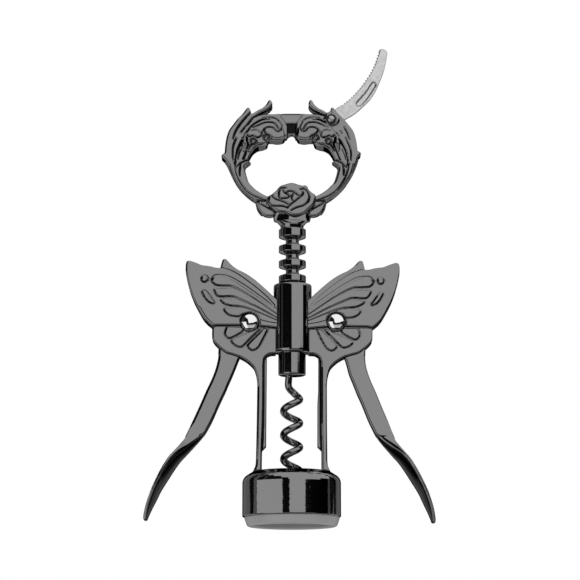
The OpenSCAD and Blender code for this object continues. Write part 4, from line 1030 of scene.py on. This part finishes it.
def moulded_plastic(name, colour):
    """Moulded plastic: an even colour with a semi-gloss skin and a fine grain."""
    material, tree = new_material(name)
    _, bump = fine_grain(tree, 1.5, 4.0, 0.01, 0.6)
    inputs = {"Base Color": colour, "Roughness": 0.38, "Normal": bump}
    shader = add_node(tree, "ShaderNodeBsdfPrincipled", inputs)
    add_node(tree, "ShaderNodeOutputMaterial", {"Surface": shader})
    return material


# Materials by slot, and one more for the bell
MATERIALS = {}


def make_materials(settings):
    """Makes the materials with the colours that the settings give."""
    plating, gloss = tuple(settings.plating_colour), settings.plating_roughness
    chrome, steel = tuple(settings.rivet_colour), tuple(settings.blade_colour)
    wire, liner = tuple(settings.worm_colour), tuple(settings.liner_colour)
    # Grey-black mirror: flat faces even grey, edges and grooves black, partly by reflection and partly by
    # painted shade
    MATERIALS["black_plating"] = plated_metal("Gunmetal plating", plating, gloss)
    # The same on the turned bell, whose faint waves make the reflections' edges ragged
    MATERIALS["bell"] = plated_metal("Turned and plated bell", plating, gloss, 1.6, 0.024)
    # Bright rivet heads that stand out from the dark wings
    MATERIALS["bright_chrome"] = plated_metal("Bright chrome", chrome, 0.06, 4, 0.001)
    # Light, soft-looking blade without sharp reflections
    MATERIALS["blade_steel"] = plated_metal("Satin stainless steel", steel, 0.3, 1.5, 0.002)
    # Dark wire with fine drawing marks, which break its highlights up
    MATERIALS["worm_steel"] = plated_metal("Plated steel wire", wire, 0.13, 0.8, 0.01)
    # Plain grey pins and the blade's rivet
    MATERIALS["pin_steel"] = plated_metal("Plain steel pin", linear("#b0b0b2"), 0.3, 0.5, 0.003)
    # Even grey liner with a soft shine
    MATERIALS["grey_plastic"] = moulded_plastic("Grey moulded plastic", liner)


# ---- Stage ----
# Lower edge of the bright sky of the light tent, as height angles by direction; 0 is the front
SKY_EDGE = [(-180, 75), (-155, 72), (-135, 66), (-90, 58), (-66, 52), (-40, 44), (-22, 32), (-10.5, 22),
            (-6, 12), (-4.8, 6.6), (-4.7, 2.5), (31, 2.5), (31.1, 6.6), (46, 7), (46.1, 9), (65, 9),
            (65.1, 12), (105, 20), (152, 41), (165, 60), (180, 75)]
# Light that the surroundings send at eye level, by direction
LOW_LIGHT = [(-180, 0), (-155, 0), (-152, 0.28), (-114, 0.28), (-113.5, 0), (-106.5, 0), (-106, 0.25),
             (-88.5, 0.25), (-88, 0.01), (-72, 0.01), (-70, 0.12), (-64, 0.12), (-62, 0.01),
             (-4.7, 0.01), (94, 0), (94.5, 0.2), (104, 0.2), (104.5, 0.4), (115, 0.4), (117, 0),
             (124, 0), (128, 0.25), (150, 0.25), (155, 0), (180, 0)]


def ramp_of(tree, factor, points, scale):
    """A colour ramp over directions, whose grey is a value divided by a scale."""
    grey = add_node(tree, "ShaderNodeValToRGB", {"Fac": factor})
    stops = grey.node.color_ramp.elements
    while len(stops) > 1:
        stops.remove(stops[-1])
    for k, (angle, value) in enumerate(points):
        stop = stops[0] if k == 0 else stops.new((angle + 180) / 360)
        stop.position = (angle + 180) / 360
        stop.color = (*[value / scale] * 3, 1)
    return grey


def light_tent():
    """White surroundings for the camera, and for the object a light tent with openings and dark cloths."""
    world = bpy.data.worlds.new("Light tent")
    bpy.context.scene.world = world
    world.use_nodes = True
    tree = world.node_tree
    tree.nodes.clear()

    def calculate(operation, *values):
        """A number worked out from numbers or sockets."""
        return add_node(tree, "ShaderNodeMath", dict(enumerate(values)), operation=operation)

    def product(first, *others):
        """All of them multiplied."""
        for other in others:
            first = calculate("MULTIPLY", first, other)
        return first

    def above(value, limit):
        """1 where a value is over a limit."""
        return calculate("GREATER_THAN", value, limit)

    def within(value, middle, reach):
        """1 where a value is nearer than a reach to a middle."""
        return calculate("LESS_THAN", calculate("ABSOLUTE", calculate("SUBTRACT", value, middle)), reach)

    def rise(value, low, high):
        """0 at low, 1 at high, and an even change between them."""
        inputs = {"Value": value, "From Min": low, "From Max": high}
        return add_node(tree, "ShaderNodeMapRange", inputs)

    # Direction around Z in radians, 0 ahead of the front; the same as a share of a turn; height in degrees
    way = add_node(tree, "ShaderNodeTexCoord", output="Generated")
    x, y, z = add_node(tree, "ShaderNodeSeparateXYZ", {"Vector": way}).node.outputs
    around = calculate("ARCTAN2", x, product(y, -1.0))
    share = calculate("MULTIPLY_ADD", around, 0.5 / math.pi, 0.5)
    height = product(calculate("ARCSINE", z), 180 / math.pi)
    away = calculate("ABSOLUTE", around)

    # Bright sky above its lower edge, and the surroundings at eye level, which fade out downward
    edge = product(ramp_of(tree, share, SKY_EDGE, 90), 90.0)
    sky = rise(calculate("SUBTRACT", height, edge), -0.2, 0.2)
    inputs = {"Factor": rise(height, -14.0, -10.0), 2: 0.012, 3: ramp_of(tree, share, LOW_LIGHT, 1)}
    level = add_node(tree, "ShaderNodeMix", inputs, data_type="FLOAT")

    # A strip of light at eye level and a cloth below it, both on the left
    strip = product(within(share, (180 - 54.85) / 360, 33.55 / 360), within(height, 4.0, 3.0))
    cloth = product(within(height, -27.0, 28.0), within(around, -0.8, 0.42))
    # Pale ground at the sides and behind, darker where it is far off behind
    horizon = calculate("SUBTRACT", -8.0, product(above(away, 2.6), 4.0))
    ground = product(calculate("LESS_THAN", height, horizon), above(height, -65.0), above(away, 1.85))
    far_off = product(rise(away, 2.5, 2.7), rise(height, -26.0, -17.0), 0.38)
    ground = product(ground, calculate("SUBTRACT", 0.6, far_off))
    # A grey cloth low in front
    front = product(within(around, 0.33, 0.77), rise(height, -8.0, -20.0), above(height, -52.0), 0.5)

    light = sky
    for patch in (strip, cloth, ground, front, level):
        light = calculate("MAXIMUM", light, patch)
    for ray in ("Is Camera Ray", "Is Diffuse Ray"):
        light = calculate("MAXIMUM", light, add_node(tree, "ShaderNodeLightPath", output=ray))
    background = add_node(tree, "ShaderNodeBackground", {"Color": (1, 1, 1, 1), "Strength": light})
    add_node(tree, "ShaderNodeOutputWorld", {"Surface": background})


def floor():
    """A pale floor that keeps the shadow from above, and hides nothing from a camera below it."""
    half, gap = 1.5, 0.0002
    corners = [(-half, -half, 0), (half, -half, 0), (half, half, 0), (-half, half, 0)]
    mesh = bpy.data.meshes.new("floor")
    mesh.from_pydata(corners, [], [(0, 1, 2, 3)])
    plane = bpy.data.objects.new("floor", mesh)
    plane.location.z = -gap
    bpy.context.scene.collection.objects.link(plane)
    material, tree = new_material("White floor")
    mesh.materials.append(material)
    white = add_node(tree, "ShaderNodeBsdfDiffuse", {"Color": linear("#f4f4f4")})
    glow = add_node(tree, "ShaderNodeEmission", {"Color": (1, 1, 1, 1), "Strength": 0.3})
    lit = add_node(tree, "ShaderNodeAddShader", {0: white, 1: glow})
    clear = add_node(tree, "ShaderNodeBsdfTransparent")
    # Seen by a camera from above only; all other rays pass
    by_camera = add_node(tree, "ShaderNodeLightPath", output="Is Camera Ray")
    from_below = add_node(tree, "ShaderNodeNewGeometry", output="Backfacing")
    seen = add_node(tree, "ShaderNodeMath", {0: by_camera, 1: from_below}, operation="SUBTRACT")
    either = add_node(tree, "ShaderNodeMixShader", {"Fac": seen, 1: clear, 2: lit})
    add_node(tree, "ShaderNodeOutputMaterial", {"Surface": either})


def camera():
    """A long lens about 0.8 m away, below the object and looking up by 10.8 degrees."""
    lens = bpy.data.cameras.new("camera")
    lens.lens = 126.5
    lens.sensor_width = 36
    lens.clip_start = 0.01
    eye = bpy.data.objects.new("camera", lens)
    looking_up = 10.8
    eye.location = (-0.0008, -0.8006, -0.0584)
    eye.rotation_euler = (math.radians(90 + looking_up), 0, 0)
    bpy.context.scene.collection.objects.link(eye)
    bpy.context.scene.camera = eye


# ---- Add-on ----
def colour_setting(name, description, hex_colour):
    """A colour among the settings."""
    return FloatVectorProperty(name=name, description=description, subtype="COLOR", size=4, min=0, max=1,
                               default=linear(hex_colour))


class CorkscrewSettings(bpy.types.PropertyGroup):
    """Sizes and colours of the corkscrew"""

    plating_colour: colour_setting("Plating Colour", "Reflective colour of the gunmetal plating", "#858585")
    rivet_colour: colour_setting("Rivet Colour", "Reflective colour of the chrome rivet heads", "#f0f0f0")
    blade_colour: colour_setting("Blade Colour", "Reflective colour of the foil blade's steel", "#d8d8d8")
    worm_colour: colour_setting("Worm Colour", "Reflective colour of the worm's wire", "#808080")
    liner_colour: colour_setting("Liner Colour", "Colour of the bell's plastic liner", "#8c8c8c")
    plating_roughness: FloatProperty(
        name="Plating Roughness", description="How much the plating blurs reflections",
        default=0.05, min=0.02, max=0.6)
    cell_height: FloatProperty(
        name="Cell Height", description="Height of the wings' raised cells, in millimetres",
        default=0.35, min=0.1, max=0.6)
    leaf_depth: FloatProperty(
        name="Leaf Depth", description="Depth of the handle's grooves as a share of the full one",
        default=1.0, min=0.3, max=1.0)
    wire_radius: FloatProperty(
        name="Wire Radius", description="Radius of the worm's wire",
        default=0.00142, min=0.0011, max=0.0015, unit="LENGTH", subtype="DISTANCE")


class CORKSCREW_OT_stage(bpy.types.Operator):
    """Adds the floor, the light tent and the camera, and makes the materials"""

    bl_idname = "corkscrew.stage"
    bl_label = "Add Stage"

    def execute(self, context):
        make_materials(context.scene.corkscrew)
        context.scene.view_settings.view_transform = "Standard"
        light_tent()
        floor()
        camera()
        return {"FINISHED"}


class CORKSCREW_OT_bell(bpy.types.Operator):
    """Adds the bell and its plastic liner"""

    bl_idname = "corkscrew.bell"
    bl_label = "Add Bell"

    def execute(self, context):
        bell = moved(lathe(bell_profile(), 160), (BELL_SHIFT, 0, 0))
        add_piece("bell_shell", bell, "frame", ["bell"], "black_plating", "bell")
        add_piece("liner", lathe(liner_profile(), 160), "frame", ["bell_liner"], "grey_plastic")
        return {"FINISHED"}


class CORKSCREW_OT_frame(bpy.types.Operator):
    """Adds the posts with the butterfly wings, and the guide barrel"""

    bl_idname = "corkscrew.frame"
    bl_label = "Add Frame"

    def execute(self, context):
        settings = context.scene.corkscrew
        for side, word in ((-1, "left"), (1, "right")):
            nodes = [f"{word}_post", f"front_{word}_wing", f"rear_{word}_wing"]
            shape = on_side(frame_side(side, settings), side)
            add_piece(f"{word}_frame_side", shape, "frame", nodes, "black_plating")
        shape = moved(barrel(), (BARREL_SHIFT, 0, 0))
        add_piece("barrel", shape, "frame", ["guide_barrel"], "black_plating")
        return {"FINISHED"}


class CORKSCREW_OT_rivets(bpy.types.Operator):
    """Adds the rivets that the levers turn on, and their rear caps"""

    bl_idname = "corkscrew.rivets"
    bl_label = "Add Rivets"

    def execute(self, context):
        for side, word in ((-1, "left"), (1, "right")):
            seat_x, seat_z = rivet_seat(side)
            head = lathe(head_profile(*RIVET_HEAD, 0.8, 2 * LOWER_FACE + 1), 64, "-Y")
            head = moved(head, (side * seat_x, -LOWER_FACE, seat_z))
            add_piece(f"{word}_rivet_head", head, "frame", [f"{word}_pivot_rivet"], "bright_chrome")
            cap = turned_back(lathe(head_profile(*RIVET_HEAD, 1.9, 1), 64, "-Y"))
            cap = moved(cap, (side * seat_x, LOWER_FACE, seat_z))
            add_piece(f"{word}_rear_cap", cap, "frame", [f"{word}_rivet_cap"], "bright_chrome")
        return {"FINISHED"}


class CORKSCREW_OT_levers(bpy.types.Operator):
    """Adds the two geared levers with paddle ends"""

    bl_idname = "corkscrew.levers"
    bl_label = "Add Levers"

    def execute(self, context):
        for side, word in ((-1, "left"), (1, "right")):
            shape = on_side(lever(side), side)
            add_piece(f"{word}_arm", shape, f"{word}_lever", [f"{word}_lever"], "black_plating")
        return {"FINISHED"}


class CORKSCREW_OT_spindle(bpy.types.Operator):
    """Adds the toothed sleeve, the spindle, the collar, the cross pins and the worm"""

    bl_idname = "corkscrew.spindle"
    bl_label = "Add Spindle and Worm"

    def execute(self, context):
        sleeve = moved(lathe(sleeve_profile(), 96), (SLEEVE_SHIFT, 0, 0))
        add_piece("rack", sleeve, "sleeve", ["toothed_sleeve"], "black_plating")
        verts, faces = lathe(spindle_profile(), 96)
        wide = blend_step(np.hypot(verts[:, 0], verts[:, 1]), 4.6, 7.8)
        verts[:, 1] *= 1 - (1 - FLANGE_FLATNESS) * wide
        add_piece("spindle_shape", (verts, faces), "handle", ["spindle"], "black_plating")
        add_piece("collar", lathe(collar_profile(), 96), "handle", ["worm_collar"], "black_plating")
        add_piece("worm_wire", worm(context.scene.corkscrew), "handle", ["worm"], "worm_steel")
        for node in ("collar_pin", "handle_pin"):
            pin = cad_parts[node]
            pin.data.materials.clear()
            pin.data.materials.append(MATERIALS["pin_steel"])
        return {"FINISHED"}


class CORKSCREW_OT_handle(bpy.types.Operator):
    """Adds the scrolled ring handle with its leaves and its rose"""

    bl_idname = "corkscrew.handle"
    bl_label = "Add Handle"

    def execute(self, context):
        shape = handle_ring(context.scene.corkscrew)
        add_piece("ring", shape, "handle", ["handle_ring"], "black_plating")
        return {"FINISHED"}


class CORKSCREW_OT_blade(bpy.types.Operator):
    """Adds the folding foil blade and its rivet"""

    bl_idname = "corkscrew.blade"
    bl_label = "Add Foil Blade"

    def execute(self, context):
        add_piece("blade_leaf", foil_blade(), "blade", ["foil_blade"], "blade_steel", sharp=35)
        head = lathe(head_profile(1.5, 0.9, 1, BLADE_SEAT), 48, "-Y")
        x, z = BLADE_PIVOT[0] + BLADE_HEAD[0], BLADE_PIVOT[1] + BLADE_HEAD[1]
        front, faces = moved(head, (x, -BLADE_SEAT, z))
        rear = moved(turned_back(head), (x, BLADE_SEAT, z))[0]
        faces = faces + [[v + len(front) for v in face] for face in faces]
        shape = (np.vstack([front, rear]), faces)
        add_piece("blade_rivet_heads", shape, "handle", ["blade_rivet"], "blade_steel", "pin_steel")
        return {"FINISHED"}


class CORKSCREW_PT_panel(bpy.types.Panel):
    """Panel with the corkscrew's settings and steps"""

    bl_idname = "CORKSCREW_PT_panel"
    bl_label = "Corkscrew"
    bl_space_type = "VIEW_3D"
    bl_region_type = "UI"
    bl_category = "Corkscrew"

    def draw(self, context):
        settings = context.scene.corkscrew
        for name in CorkscrewSettings.__annotations__:
            self.layout.prop(settings, name)
        for operator in OPERATORS:
            self.layout.operator(operator.bl_idname)


OPERATORS = (CORKSCREW_OT_stage, CORKSCREW_OT_bell, CORKSCREW_OT_frame, CORKSCREW_OT_rivets,
             CORKSCREW_OT_levers, CORKSCREW_OT_spindle, CORKSCREW_OT_handle, CORKSCREW_OT_blade)
CLASSES = (CorkscrewSettings, *OPERATORS, CORKSCREW_PT_panel)


def register():
    """Makes the settings, the operators and the panel known."""
    for cls in CLASSES:
        bpy.utils.register_class(cls)
    bpy.types.Scene.corkscrew = PointerProperty(type=CorkscrewSettings)


def unregister():
    """Takes them away again."""
    del bpy.types.Scene.corkscrew
    for cls in reversed(CLASSES):
        bpy.utils.unregister_class(cls)


def main():
    """Builds the whole scene."""
    register()
    bpy.ops.corkscrew.stage()
    bpy.ops.corkscrew.bell()
    bpy.ops.corkscrew.frame()
    bpy.ops.corkscrew.rivets()
    bpy.ops.corkscrew.levers()
    bpy.ops.corkscrew.spindle()
    bpy.ops.corkscrew.handle()
    bpy.ops.corkscrew.blade()


if __name__ == "__main__":
    main()
